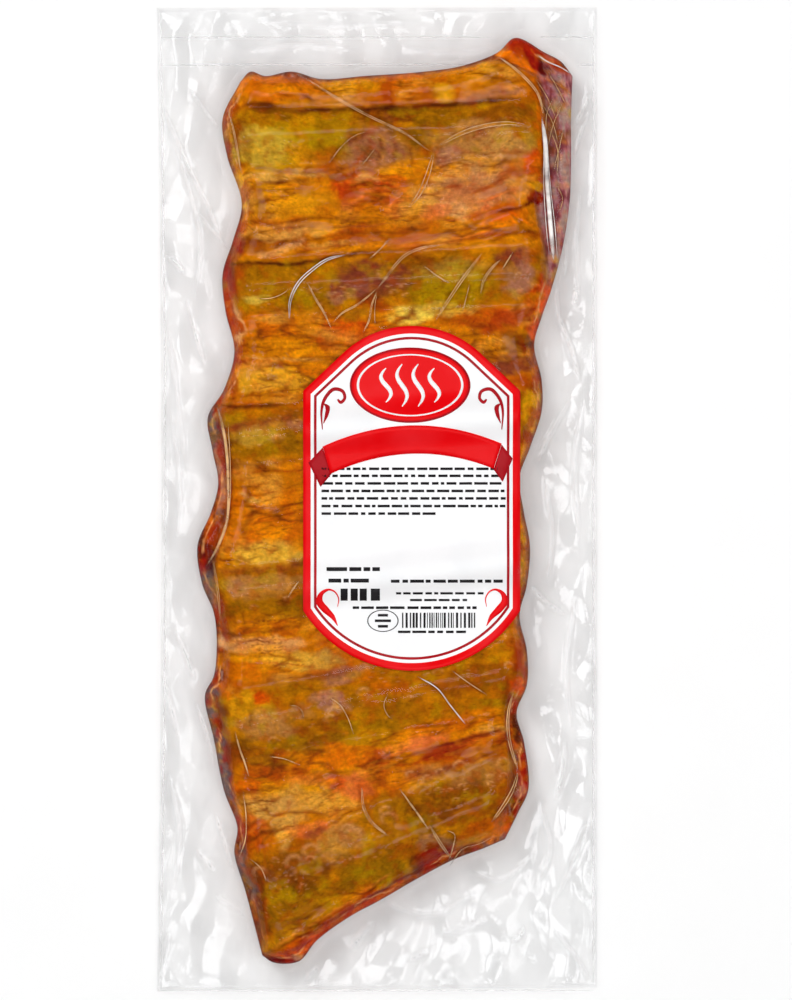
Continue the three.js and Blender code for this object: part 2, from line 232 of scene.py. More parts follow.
def labelOutline(spacing, depth=0):
    # the label's edge, or a line that runs depth inside it, anticlockwise: straight sides, a round foot, and
    # an arch that runs on into straight shoulders. The arch's half angle a is found by halving.
    low, high = 0, math.pi / 2.2
    for _ in range(40):
        a = (low + high) / 2
        rise = label["topRadius"] * (1 - math.cos(a))
        rise += (label["halfWidth"] - label["topRadius"] * math.sin(a)) * math.tan(a)
        low, high = (low, a) if rise > label["topRise"] else (a, high)
    wide, foot = label["halfWidth"], label["footRise"]
    footRadius = (wide**2 + foot**2) / (2 * foot)
    archY = label["shoulderY"] + label["topRise"] - label["topRadius"]
    footY = label["footY"] - foot + footRadius
    straight = label["shoulderY"] - label["footY"]
    lengths = (straight, 2 * math.hypot(wide, label["topRise"]), straight, 2 * math.hypot(wide, foot))
    wide, archRadius, footRadius = wide - depth, label["topRadius"] - depth, footRadius - depth
    shoulder = archY + archRadius * math.cos(a) - (wide - archRadius * math.sin(a)) * math.tan(a)
    footAngle = math.asin(wide / footRadius)
    ankle = footY - footRadius * math.cos(footAngle)

    def arc(radius, middleY, start, end):
        angle = np.linspace(start, end, 90)
        return np.stack([radius * np.cos(angle), middleY + radius * np.sin(angle)], -1)

    up = math.pi / 2
    right = np.array([(wide, ankle), (wide, shoulder)])
    arch = arc(archRadius, archY, up - a, up + a)
    sides = [
        right,
        np.concatenate([right[1:], arch, [(-wide, shoulder)]]),
        right[::-1] * (-1, 1),
        arc(footRadius, footY, -up - footAngle, -up + footAngle),
    ]
    return np.concatenate([atShare(side, np.linspace(0, 1, round(length / spacing), endpoint=False))
                           for side, length in zip(sides, lengths)])


meatEdge, panelEdge, paperEdge = slabOutline(0), slabOutline(1), labelOutline(2.0)


def rounded(depth, width):  # superellipse: 0 at the edge, 1 once depth is past width
    rest = 1 - np.clip(depth / width, 0, 1)
    return (1 - rest**slab["roundness"]) ** (1 / slab["roundness"])


def boneOff(x, y):  # distance across each bone's line, positive towards the sealed top
    off = []
    for (lx, ly), (rx, ry), half, rise in bones:
        slope = (ry - ly) / (rx - lx)
        off.append((y - ly - slope * (x - lx)) / math.hypot(1, slope))
    return off


def marginHeight(x, y, away):
    # comes down from the seam along an exponential, with small crossed waves further out
    a, b, c, d = pouch["waves"]
    calm = 1 - np.exp(-away / pouch["calm"])
    wave = np.sin(x / a + 1.7 * np.sin(y / b)) * np.sin(y / c + x / d) * 0.5 + 0.5
    fall = (slab["seam"] - pouch["rest"]) * np.exp(-away / pouch["reach"])
    return pouch["rest"] + fall + pouch["ripple"] * calm * wave


class Plan:
    # the distances at the points x, y that heights and colours are made from. A skin that lies over
    # the meat has its outlines moved out by spread.
    def __init__(self, x, y, spread=0):
        self.x, self.y = x, y
        self.depth = insideBy(meatEdge, x, y) + spread
        self.panel = insideBy(panelEdge, x, y) + spread
        self.cover = insideBy(paperEdge, x - label["centre"][0], y - label["centre"][1])
        self.off = boneOff(x, y)

    def margin(self):
        return marginHeight(self.x, self.y, np.maximum(-self.depth, 0))

    def top(self):
        # bone side of the slab, a raised cosine over each bone, and the margin past it
        ridges = sum(rise * (0.5 + 0.5 * np.cos(np.pi * np.clip(off / half, -1, 1)))
                     for off, (left, right, half, rise) in zip(self.off, bones))
        a, b, c, d, e = slab["swells"]
        swell = a * np.cos(self.x / b) + c * np.sin(self.y / d + self.x / e)
        full = slab["valley"] + ridges + swell - slab["shelf"]
        drawn = slab["seam"] + (slab["shelf"] - slab["seam"]) * rounded(self.depth, slab["shelfRound"])
        drawn = drawn + full * rounded(self.panel, slab["panelRound"])
        return np.where(self.depth > 0, drawn, self.margin())

    def held(self):  # the film under the label is held up with it
        height = self.top()
        hold = smooth(-label["hold"], 0.5, self.cover)
        lifted = height + (label["least"] - height) * hold
        # the larger of the two, with the corner between them rounded by a parabola
        share = np.clip(0.5 + (lifted - height) / label["blend"] / 2, 0, 1)
        return height + (lifted - height) * share + label["blend"] * share * (1 - share) * hold

    def under(self):
        drawn = slab["seam"] * (1 - rounded(self.depth, slab["underRound"]))
        return np.where(self.depth > 0, drawn, self.margin())


def makeObject(name, points, faces, materials, faceMaterial=None):
    mesh = bpy.data.meshes.new(name)
    mesh.from_pydata((np.asarray(points) * mm).tolist(), [], faces)
    for material in materials:
        mesh.materials.append(material)
    if faceMaterial is not None:
        mesh.polygons.foreach_set("material_index", np.asarray(faceMaterial, np.int32))
    mesh.polygons.foreach_set("use_smooth", np.ones(len(mesh.polygons), bool))
    mesh.update()
    piece = bpy.data.objects.new(name, mesh)
    bpy.context.scene.collection.objects.link(piece)
    return piece


def paintPoints(piece, name, values):  # a colour, or a number, for each vertex
    kind, key = ("FLOAT_COLOR", "color") if np.ndim(values) == 2 else ("FLOAT", "value")
    attribute = piece.data.attributes.new(name, kind, "POINT")
    attribute.data.foreach_set(key, np.ascontiguousarray(values, np.float32).ravel())


def dress(piece, slot, *replaced):
    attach(piece, "root")
    if replaced:
        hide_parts(*replaced)


def gridFaces(places, points, up):  # the quads between neighbouring places of a grid, all facing up or down
    a, b, c, d = places[:-1, :-1], places[1:, :-1], places[1:, 1:], places[:-1, 1:]
    faces = np.stack([a, b, c, d], -1).reshape(-1, 4)
    a, b, c = (points[faces[:, k]] for k in range(3))
    facesUp = np.cross(b - a, c - a)[:, 2].sum() > 0
    return faces if facesUp == up else faces[:, ::-1]


def rimLoop(grid):  # a grid's places once round its rim
    return np.concatenate([grid[0, :-1], grid[:-1, -1], grid[-1, :0:-1], grid[:0:-1, 0]])


def withRim(heights, rim):  # a grid of heights whose rim is set to those of another, or to one number
    lifted = np.ones(heights.shape) * rim
    lifted[inside] = heights[inside]
    return lifted


def closedSheet(top, bottom):
    # a top grid and a bottom grid with half as many cells each way, joined along their rim, where the
    # bottom's cells take in the top's extra points
    rows, columns = top.shape[:2]
    above = np.arange(rows * columns).reshape(rows, columns)
    below = above[everyOther].copy()
    inner = rows * columns + np.arange(below[inside].size)
    below[inside] = inner.reshape(below[inside].shape)
    points = np.concatenate([top.reshape(-1, 3), bottom[inside].reshape(-1, 3)])
    upper = gridFaces(above, points, True).tolist()
    lower = gridFaces(below, points, False).tolist()
    loop = rimLoop(above).tolist()
    middle = {}  # the extra point between each two of the bottom's rim, either way round
    for first, between, last in zip(loop[0::2], loop[1::2], loop[2::2] + loop[:1]):
        middle[first, last] = middle[last, first] = between
    closed = [[k for pair in zip(face, face[1:] + face[:1])
               for k in (pair[0], middle.get(pair)) if k is not None] for face in lower]
    return points, upper + closed


def closedRings(rings, hollow=False):
    # skin over rings of equally many points, from one end to the other. It has a flat face on each end, or
    # runs on from the last ring to the first round a hole.
    count, around = rings.shape[:2]
    place = np.arange(count * around).reshape(count, around)
    row = np.concatenate([place, place[:1]]) if hollow else place
    turned = np.roll(row, -1, 1)
    faces = np.stack([row[:-1], row[1:], turned[1:], turned[:-1]], -1).reshape(-1, 4).tolist()
    ends = [] if hollow else [place[0].tolist(), place[-1, ::-1].tolist()]
    return outward(rings.reshape(-1, 3), faces + ends)


def outward(points, faces):  # turns a closed body's faces round if they enclose less than nothing
    volume = sum(np.dot(points[f[0]], np.cross(points[f[k]], points[f[k + 1]]))
                 for f in faces for k in range(1, len(f) - 1))
    return (points, faces) if volume > 0 else (points, [f[::-1] for f in faces])


def joined(bodies):  # several bodies of points and faces as one
    points, faces, count = [], [], 0
    for bodyPoints, bodyFaces in bodies:
        points.append(bodyPoints)
        faces += [[k + count for k in face] for face in bodyFaces]
        count += len(bodyPoints)
    return np.concatenate(points), faces


class Wire:
    # a socket that takes part in Python sums; each sum adds a Math node
    def __init__(self, tree, socket=None):
        self.tree, self.socket = tree, socket

    def node(self, kind, settings=(), inputs=(), out=0):
        # adds a node, makes its settings and then sets or links its sockets
        made = self.tree.nodes.new("ShaderNode" + kind)
        for name, value in dict(settings).items():
            setattr(made, name, value)
        for name, value in dict(inputs).items():
            if isinstance(value, Wire):
                self.tree.links.new(value.socket, made.inputs[name])
            else:
                made.inputs[name].default_value = value
        return Wire(self.tree, made.outputs[out] if len(made.outputs) else None)

    def sum(self, operation, other):
        return self.node("Math", {"operation": operation}, {0: self, 1: other})

    def __add__(self, other):
        return self.sum("ADD", other)

    def __mul__(self, other):
        return self.sum("MULTIPLY", other)

    def __pow__(self, other):
        return self.sum("POWER", other)

    __radd__, __rmul__ = __add__, __mul__  # either order gives the same

    def between(self, low, high):  # 0 at low, 1 at high
        return self.node("MapRange", {}, {"Value": self, "From Min": low, "From Max": high})

    def painted(self, name, out):  # what was painted on the points under that name
        return self.node("Attribute", {"attribute_name": name}, out=out)

    def noise(self, scale, detail, roughness=0.5):  # by place on the object, in metres
        place = self.node("TexCoord", out="Object")
        return self.node("TexNoise", {}, {"Vector": place, "Scale": scale, "Detail": detail,
                                          "Roughness": roughness})

    def bump(self, height, strength, distance):
        return self.node("Bump", {}, {"Height": height, "Strength": strength, "Distance": distance})

    def mixColour(self, share, a, b, blend="MIX"):
        settings = {"data_type": "RGBA", "blend_type": blend}
        return self.node("Mix", settings, {0: share, 6: a, 7: b}, out=2)

    def body(self, colour, roughness, specular, **more):  # a Principled surface
        settings = {"Base Color": colour, "Roughness": roughness, "Specular IOR Level": specular}
        return self.node("BsdfPrincipled", {}, settings | more)


def newShader(name):
    material = bpy.data.materials.new(name)
    material.use_nodes = True
    material.node_tree.nodes.clear()
    return material, Wire(material.node_tree)


def finished(material, wire, surface):
    wire.node("OutputMaterial", {}, {"Surface": surface})
    return material


def linear(red, green, blue):  # a screen colour, 0 to 255, as scene light
    c = np.array([red, green, blue]) / 255
    return np.where(c <= 0.04045, c / 12.92, ((c + 0.055) / 1.055) ** 2.4)


def rgba(colour):
    return (*linear(*colour), 1)


print("helpers ready")

# the colours that the smoked slab is painted with
smoke = {
    "amber": (198, 112, 4), "gold": (212, 138, 16), "honey": (186, 106, 6), "orange": (210, 106, 4),
    "olive": (166, 106, 8), "moss": (136, 90, 6), "straw": (222, 170, 70), "lime": (176, 132, 6),
    "umber": (124, 66, 10), "bark": (84, 40, 12), "rust": (176, 76, 8), "ember": (204, 78, 8),
    "coral": (212, 108, 48), "blush": (214, 144, 88), "tan": (204, 142, 66), "fawn": (180, 118, 56),
    "plum": (134, 68, 36), "mauve": (172, 112, 84), "grey": (104, 84, 74), "blood": (150, 34, 12),
    "wine": (96, 22, 12), "flap": (160, 102, 98), "glow": (230, 140, 6), "ash": (152, 122, 106),
}
smokeTint = (0.96, 0.91, 0.8)  # what the smoke and the film take from each colour
smokeDepth = {"middle": (178, 102, 20), "power": (1.12, 1.34, 1.12)}  # spreads the tones about a middle
# soft patches, in pixels of the photo: middle x and y, half lengths, colour and strength, then if not 0 the
# turn in degrees anticlockwise and how far the surface swells there
patches = [
    # first strip, above the first bone
    (236, 92, 10, 20, "honey", 0.6), (278, 90, 42, 11, "orange", 0.6, 0, 0.2),
    (322, 96, 14, 9, "orange", 0.5), (350, 88, 26, 9, "gold", 0.4), (391, 93, 8, 16, "rust", 0.7, 0, -0.2),
    (412, 88, 16, 12, "orange", 0.6, 0, 0.1), (443, 94, 13, 12, "gold", 0.8, 0, 0.2),
    (486, 76, 13, 8, "gold", 0.6, 0, 0.1), (520, 76, 14, 10, "orange", 0.5, -20),
    (498, 84, 30, 6, "honey", 0.5, 4),
    # first bone
    (268, 152, 34, 26, "lime", 0.55, 0, 0.2), (243, 138, 10, 14, "umber", 0.55),
    (250, 182, 24, 10, "gold", 0.7, 0, 0.2), (286, 120, 9, 4, "umber", 0.8, 0, -0.1),
    (262, 110, 16, 4, "umber", 0.6, 0, -0.1), (300, 160, 16, 14, "gold", 0.55, 0, 0.15),
    (328, 138, 22, 18, "lime", 0.6, 0, 0.1), (345, 126, 22, 8, "olive", 0.5),
    (372, 150, 28, 20, "plum", 0.8), (392, 118, 26, 9, "umber", 0.75, 0, -0.1),
    (420, 138, 16, 12, "moss", 0.75), (440, 120, 24, 10, "moss", 0.6), (462, 118, 14, 10, "olive", 0.6),
    (500, 116, 30, 9, "umber", 0.45, 3), (482, 150, 50, 24, "fawn", 0.9, 0, 0.25),
    (446, 158, 14, 10, "mauve", 0.6), (505, 140, 18, 10, "tan", 0.4), (482, 138, 8, 5, "plum", 0.4),
    (520, 160, 12, 14, "fawn", 0.5), (540, 132, 4, 44, "orange", 0.8),
    # between the first two bones
    (282, 178, 44, 5, "tan", 0.6, 2, 0.35), (247, 200, 9, 12, "tan", 0.7, 20, 0.2),
    (285, 206, 40, 14, "gold", 0.5, 0, 0.2), (262, 205, 8, 6, "olive", 0.6, 0, -0.2),
    (356, 188, 26, 14, "ember", 0.9, 0, 0.1), (395, 187, 16, 10, "ember", 0.85, 0, 0.1),
    (366, 181, 7, 4, "blush", 0.8, 20, 0.2), (393, 206, 12, 10, "coral", 0.8, 30, 0.25),
    (348, 208, 10, 8, "coral", 0.7, 0, 0.15), (352, 216, 14, 6, "plum", 0.4),
    (417, 190, 6, 22, "honey", 0.7, 20, 0.2), (428, 206, 10, 12, "tan", 0.5, 0, 0.1),
    (478, 190, 50, 20, "blush", 0.65, 4, 0.15), (512, 172, 16, 10, "rust", 0.5, 20),
    (452, 212, 18, 10, "blush", 0.8, 0, 0.25), (435, 214, 16, 8, "coral", 0.6, 0, 0.1),
    (505, 224, 30, 8, "orange", 0.8, 5, 0.8), (468, 230, 34, 7, "amber", 0.5, 6, 0.2),
    (534, 168, 9, 14, "ember", 0.9), (528, 178, 16, 4, "rust", 0.7, 20),
    (535, 193, 9, 9, "blood", 0.95, 20, -0.3), (534, 184, 9, 3.5, "gold", 0.95, 0, 0.3),
    (352, 238, 20, 9, "rust", 0.7, 4, -0.1), (258, 228, 14, 7, "amber", 0.7, 0, 0.1),
    (290, 236, 46, 5, "tan", 0.4, 4, 0.2), (280, 250, 24, 4, "blush", 0.6, 14, 0.3),
    (252, 246, 12, 9, "umber", 0.5), (335, 247, 36, 4, "tan", 0.4, 6, 0.15),
    (400, 238, 40, 7, "honey", 0.6, 4), (236, 246, 8, 18, "plum", 0.8, -10),
    # second bone
    (285, 283, 52, 20, "olive", 0.8, 0, 0.1), (242, 272, 9, 9, "rust", 0.6),
    (320, 276, 10, 8, "honey", 0.6), (258, 301, 12, 4, "straw", 0.6, 0, 0.1),
    (300, 300, 30, 8, "lime", 0.4, 0, 0.1), (362, 282, 28, 20, "plum", 0.85),
    (345, 296, 24, 5, "mauve", 0.5, 10), (400, 278, 12, 14, "plum", 0.75),
    (372, 306, 20, 7, "rust", 0.7, -10), (350, 316, 14, 6, "moss", 0.5),
    (445, 286, 36, 26, "moss", 0.8, 0, 0.1), (440, 305, 24, 8, "lime", 0.5, 0, 0.1),
    # the pale straw patch below the second bone is a painted glare
    (430, 266, 22, 8, "umber", 0.6), (412, 317, 22, 9, "straw", 0.75, 0, 0.3),
    (480, 290, 22, 18, "olive", 0.6), (516, 275, 18, 20, "mauve", 0.7), (508, 258, 14, 7, "plum", 0.7),
    (538, 300, 12, 16, "ember", 0.95), (515, 318, 16, 10, "coral", 0.6, 20, 0.1),
    (478, 318, 24, 9, "rust", 0.6, 5), (500, 336, 22, 9, "honey", 0.6, 20, 0.1),
    (516, 345, 14, 12, "bark", 0.7, 0, -0.2), (505, 366, 16, 10, "plum", 0.8),
    (528, 362, 10, 9, "plum", 0.7, 0, -0.1), (520, 384, 14, 8, "rust", 0.6, 0, 0.2),
    (531, 410, 8, 24, "gold", 0.7, 0, 0.1), (475, 345, 20, 8, "amber", 0.7, 10, 0.1),
    (533, 330, 7, 14, "ember", 0.7),
    # between the second and third bones
    (262, 326, 34, 12, "orange", 0.7), (285, 316, 8, 12, "umber", 0.5, 20),
    (350, 334, 30, 12, "ember", 0.7), (330, 346, 8, 12, "rust", 0.6),
    (280, 372, 46, 12, "orange", 0.5, 0, 0.15), (265, 372, 26, 8, "tan", 0.35, 0, 0.2),
    (270, 396, 36, 8, "honey", 0.5), (231, 300, 6, 46, "rust", 0.85),
    (237, 322, 3, 20, "blush", 0.8, 0, 0.2), (230, 266, 6, 14, "umber", 0.8),
    # third bone
    (262, 416, 44, 9, "olive", 0.6, 2, 0.1), (258, 412, 18, 5, "amber", 0.5),
    (255, 432, 30, 6, "tan", 0.45, 6), (265, 445, 40, 15, "olive", 0.85, 0, 0.1),
    (297, 426, 10, 6, "mauve", 0.5), (232, 445, 8, 6, "umber", 0.5), (256, 438, 26, 7, "straw", 0.3),
    (232, 464, 9, 5, "umber", 0.6, 0, -0.1),
    # between the third and fourth bones
    (264, 482, 40, 16, "honey", 0.5), (262, 500, 40, 14, "orange", 0.6, 0, 0.1),
    (253, 499, 12, 4, "tan", 0.75, -25, 0.2), (264, 532, 40, 14, "orange", 0.65, 0, 0.2),
    (250, 542, 7, 6, "ember", 0.35), (266, 556, 36, 12, "gold", 0.6, 0, 0.1),
    (298, 560, 8, 8, "umber", 0.6), (285, 542, 9, 4, "umber", 0.35),
    # fourth bone
    # the fawn and mauve bands along this bone's top are a painted sheen
    (262, 583, 42, 8, "fawn", 0.75, 0, 0.1), (240, 592, 12, 10, "mauve", 0.45),
    (262, 607, 40, 14, "olive", 0.75, 0, 0.1), (295, 606, 14, 10, "moss", 0.6),
    (284, 600, 8, 5, "umber", 0.6), (250, 618, 22, 9, "amber", 0.5), (284, 628, 14, 7, "rust", 0.6, 10),
    (228, 620, 8, 16, "umber", 0.5),
    # between the fourth and fifth bones
    (262, 644, 46, 7, "blush", 0.6, 0, 0.2), (290, 650, 12, 5, "mauve", 0.35),
    (262, 660, 50, 9, "amber", 0.7, 0, 0.1), (245, 672, 20, 8, "orange", 0.5),
    # the mauve band at the fifth bone's upper left is a painted sheen
    (330, 656, 14, 5, "plum", 0.7, -20, -0.1), (345, 674, 22, 8, "mauve", 0.55, 14),
    (374, 678, 22, 8, "orange", 0.5),
    # fifth bone
    (222, 690, 9, 10, "orange", 0.8), (250, 700, 20, 14, "gold", 0.75, 0, 0.1),
    (264, 697, 8, 7, "ember", 0.8), (290, 690, 22, 12, "olive", 0.5), (226, 716, 8, 10, "umber", 0.7),
    (270, 724, 26, 16, "fawn", 0.75, 0, 0.1), (296, 704, 14, 12, "amber", 0.5),
    (300, 712, 12, 6, "fawn", 0.5), (330, 700, 16, 9, "mauve", 0.8, -10), (336, 722, 20, 12, "umber", 0.5),
    (310, 742, 40, 9, "moss", 0.7, 6), (305, 733, 8, 14, "umber", 0.4, 40),
    (375, 738, 28, 16, "lime", 0.4, 10), (398, 712, 24, 16, "olive", 0.7, 10, 0.1),
    (455, 692, 50, 24, "honey", 0.5, 14, 0.1), (470, 678, 40, 12, "umber", 0.45, 10),
    (490, 706, 26, 9, "lime", 0.5, 14), (350, 750, 36, 6, "orange", 0.6, 8),
    (240, 752, 22, 12, "umber", 0.6), (515, 662, 7, 24, "rust", 0.6, -14), (508, 700, 8, 18, "umber", 0.5),
    (518, 684, 7, 10, "ember", 0.7),
    # between the fifth and sixth bones
    (378, 756, 22, 9, "rust", 0.85, 24, -0.2), (335, 760, 36, 8, "orange", 0.7, 4, 0.2),
    (270, 770, 34, 7, "rust", 0.7, 4), (268, 760, 24, 5, "moss", 0.6),
    (300, 786, 40, 8, "gold", 0.6, 4, 0.2), (316, 778, 30, 6, "coral", 0.4, 0, 0.2),
    (352, 782, 24, 12, "coral", 0.7, 0, 0.2), (338, 784, 10, 10, "ember", 0.6),
    (246, 786, 10, 9, "ember", 0.8), (385, 780, 14, 10, "amber", 0.7),
    (412, 770, 26, 7, "amber", 0.6, 16, 0.2), (414, 742, 30, 8, "coral", 0.8, 12, 0.5),
    (470, 742, 40, 8, "coral", 0.7, 14, 0.3), (480, 758, 26, 6, "rust", 0.6, 14, -0.2),
    (450, 722, 60, 8, "orange", 0.6, 14), (495, 728, 14, 7, "tan", 0.5, 10, 0.2),
    (510, 735, 7, 16, "rust", 0.7),
    # sixth bone
    (455, 792, 52, 26, "olive", 0.8, 10, 0.15), (425, 772, 22, 9, "fawn", 0.6, 10),
    (478, 772, 30, 10, "fawn", 0.7, 14), (452, 812, 40, 9, "umber", 0.4, 12),
    (478, 806, 26, 8, "honey", 0.6, 14), (500, 785, 12, 18, "rust", 0.45),
    (482, 826, 26, 8, "rust", 0.6, 18, 0.1), (500, 828, 14, 10, "orange", 0.6, 30),
    (388, 808, 26, 14, "olive", 0.7), (420, 822, 14, 18, "moss", 0.7, 20),
    (266, 806, 16, 10, "tan", 0.7, 0, 0.2), (284, 802, 14, 7, "fawn", 0.7, 4, 0.15),
    (320, 800, 20, 8, "gold", 0.5, 0, 0.2), (256, 828, 12, 18, "ember", 0.6),
    (285, 830, 9, 20, "tan", 0.7, 0, 0.1), (312, 828, 22, 9, "coral", 0.6, 6, 0.1),
    (314, 832, 14, 5, "plum", 0.5), (338, 842, 14, 12, "tan", 0.5), (300, 862, 26, 14, "olive", 0.7),
    (325, 856, 20, 10, "fawn", 0.5), (262, 872, 14, 9, "fawn", 0.5, 0, 0.1),
    (285, 884, 26, 7, "umber", 0.55), (352, 832, 18, 12, "fawn", 0.7),
    (376, 868, 34, 15, "lime", 0.8, 14, 0.1), (400, 838, 24, 12, "olive", 0.6, 10),
    (305, 906, 44, 24, "lime", 0.55, 24), (340, 886, 18, 5, "umber", 0.5, 10),
    (290, 925, 18, 22, "lime", 0.5), (263, 905, 6, 44, "umber", 0.8, 6), (252, 890, 6, 60, "rust", 0.6, 6),
    (275, 944, 14, 8, "olive", 0.5), (436, 842, 16, 9, "mauve", 0.7),
    (432, 854, 16, 9, "blood", 0.85, 20, -0.1), (414, 862, 10, 8, "wine", 0.7, 30),
    (340, 916, 70, 8, "rust", 0.75, 29, 0.2), (350, 922, 70, 4, "blood", 0.55, 29),
    (300, 944, 24, 7, "ember", 0.7, 20), (284, 959, 18, 5, "wine", 0.9), (297, 953, 9, 3, "mauve", 0.6),
    # stronger stains over what is above
    (372, 196, 36, 16, "rust", 0.5), (480, 196, 46, 12, "rust", 0.3, 4), (500, 214, 30, 8, "ember", 0.4),
    (495, 322, 30, 12, "rust", 0.6, 8), (392, 774, 36, 12, "rust", 0.5, 12),
    (468, 746, 44, 9, "rust", 0.6, 14), (292, 868, 36, 20, "umber", 0.5),
    (370, 860, 36, 16, "moss", 0.3, 10), (460, 796, 44, 18, "umber", 0.4, 10),
    (300, 916, 36, 16, "moss", 0.4, 20), (450, 288, 36, 18, "lime", 0.6),
    (440, 310, 30, 6, "straw", 0.4, 0, 0.1), (366, 290, 26, 14, "plum", 0.4),
    (388, 240, 40, 7, "rust", 0.4, 6), (290, 128, 40, 20, "lime", 0.25),
    (270, 380, 36, 10, "straw", 0.35, 0, 0.1), (262, 654, 36, 8, "glow", 0.4, 0, 0.1),
    # the fawn patch at the fourth bone's top strengthens its painted sheen
    (258, 590, 30, 8, "fawn", 0.3), (262, 150, 30, 20, "straw", 0.35), (455, 270, 40, 9, "straw", 0.2, 4),
    (285, 232, 50, 8, "tan", 0.35, 4, 0.1), (276, 380, 40, 12, "gold", 0.6, 0, 0.1),
    (268, 552, 34, 12, "straw", 0.4, 0, 0.1), (300, 660, 40, 10, "straw", 0.4, 0, 0.1),
    (288, 800, 44, 14, "tan", 0.45, 4, 0.1), (470, 744, 46, 10, "blood", 0.35, 14),
    (296, 872, 34, 16, "bark", 0.3), (365, 192, 36, 16, "blood", 0.25), (480, 186, 44, 14, "plum", 0.25, 4),
    (374, 150, 26, 20, "mauve", 0.3), (521, 778, 7, 26, "wine", 0.5), (455, 800, 46, 18, "bark", 0.2, 10),
    (466, 744, 46, 9, "wine", 0.25, 14), (290, 914, 40, 16, "umber", 0.4, 20),
    (372, 864, 36, 16, "umber", 0.35, 12), (505, 325, 26, 12, "blood", 0.25, 8),
    (380, 150, 30, 22, "tan", 0.2), (226, 140, 6, 20, "umber", 0.5),
    # the cut edges at both sides
    (206, 546, 11, 30, "bark", 0.85), (213, 530, 6, 20, "rust", 0.7, 10),
    (208, 556, 5, 12, "wine", 0.7, -20), (205, 586, 8, 20, "grey", 0.85), (213, 430, 7, 22, "grey", 0.8),
    (222, 470, 5, 40, "mauve", 0.5), (208, 704, 8, 18, "grey", 0.9), (215, 742, 9, 38, "grey", 0.9, 14),
    (227, 786, 4, 20, "grey", 0.8, 14), (213, 762, 3, 30, "bark", 0.6, 14),
    (245, 874, 7, 26, "grey", 0.85, 14), (252, 910, 3, 36, "bark", 0.7, 12),
    (517, 728, 5, 14, "bark", 0.85, -10), (522, 768, 7, 30, "blood", 0.7), (518, 785, 6, 12, "mauve", 0.5),
    (500, 826, 14, 8, "orange", 0.7, 30), (233, 322, 4, 24, "rust", 0.8), (222, 264, 6, 12, "bark", 0.7),
    (224, 128, 6, 24, "fawn", 0.6), (226, 300, 6, 40, "blood", 0.5),
    # the end of the meat past the bones, at the upper right
    (526, 52, 22, 12, "rust", 0.95, -25), (524, 46, 18, 6, "blood", 0.6, -20),
    (512, 60, 24, 5, "orange", 0.9, -32, 0.4), (534, 58, 8, 12, "blood", 0.9, 0, -0.2),
    (540, 66, 5, 8, "wine", 0.9, 0, -0.3), (550, 60, 8, 5, "mauve", 0.7, -20),
    (556, 66, 8, 5, "rust", 0.6, -30),
]
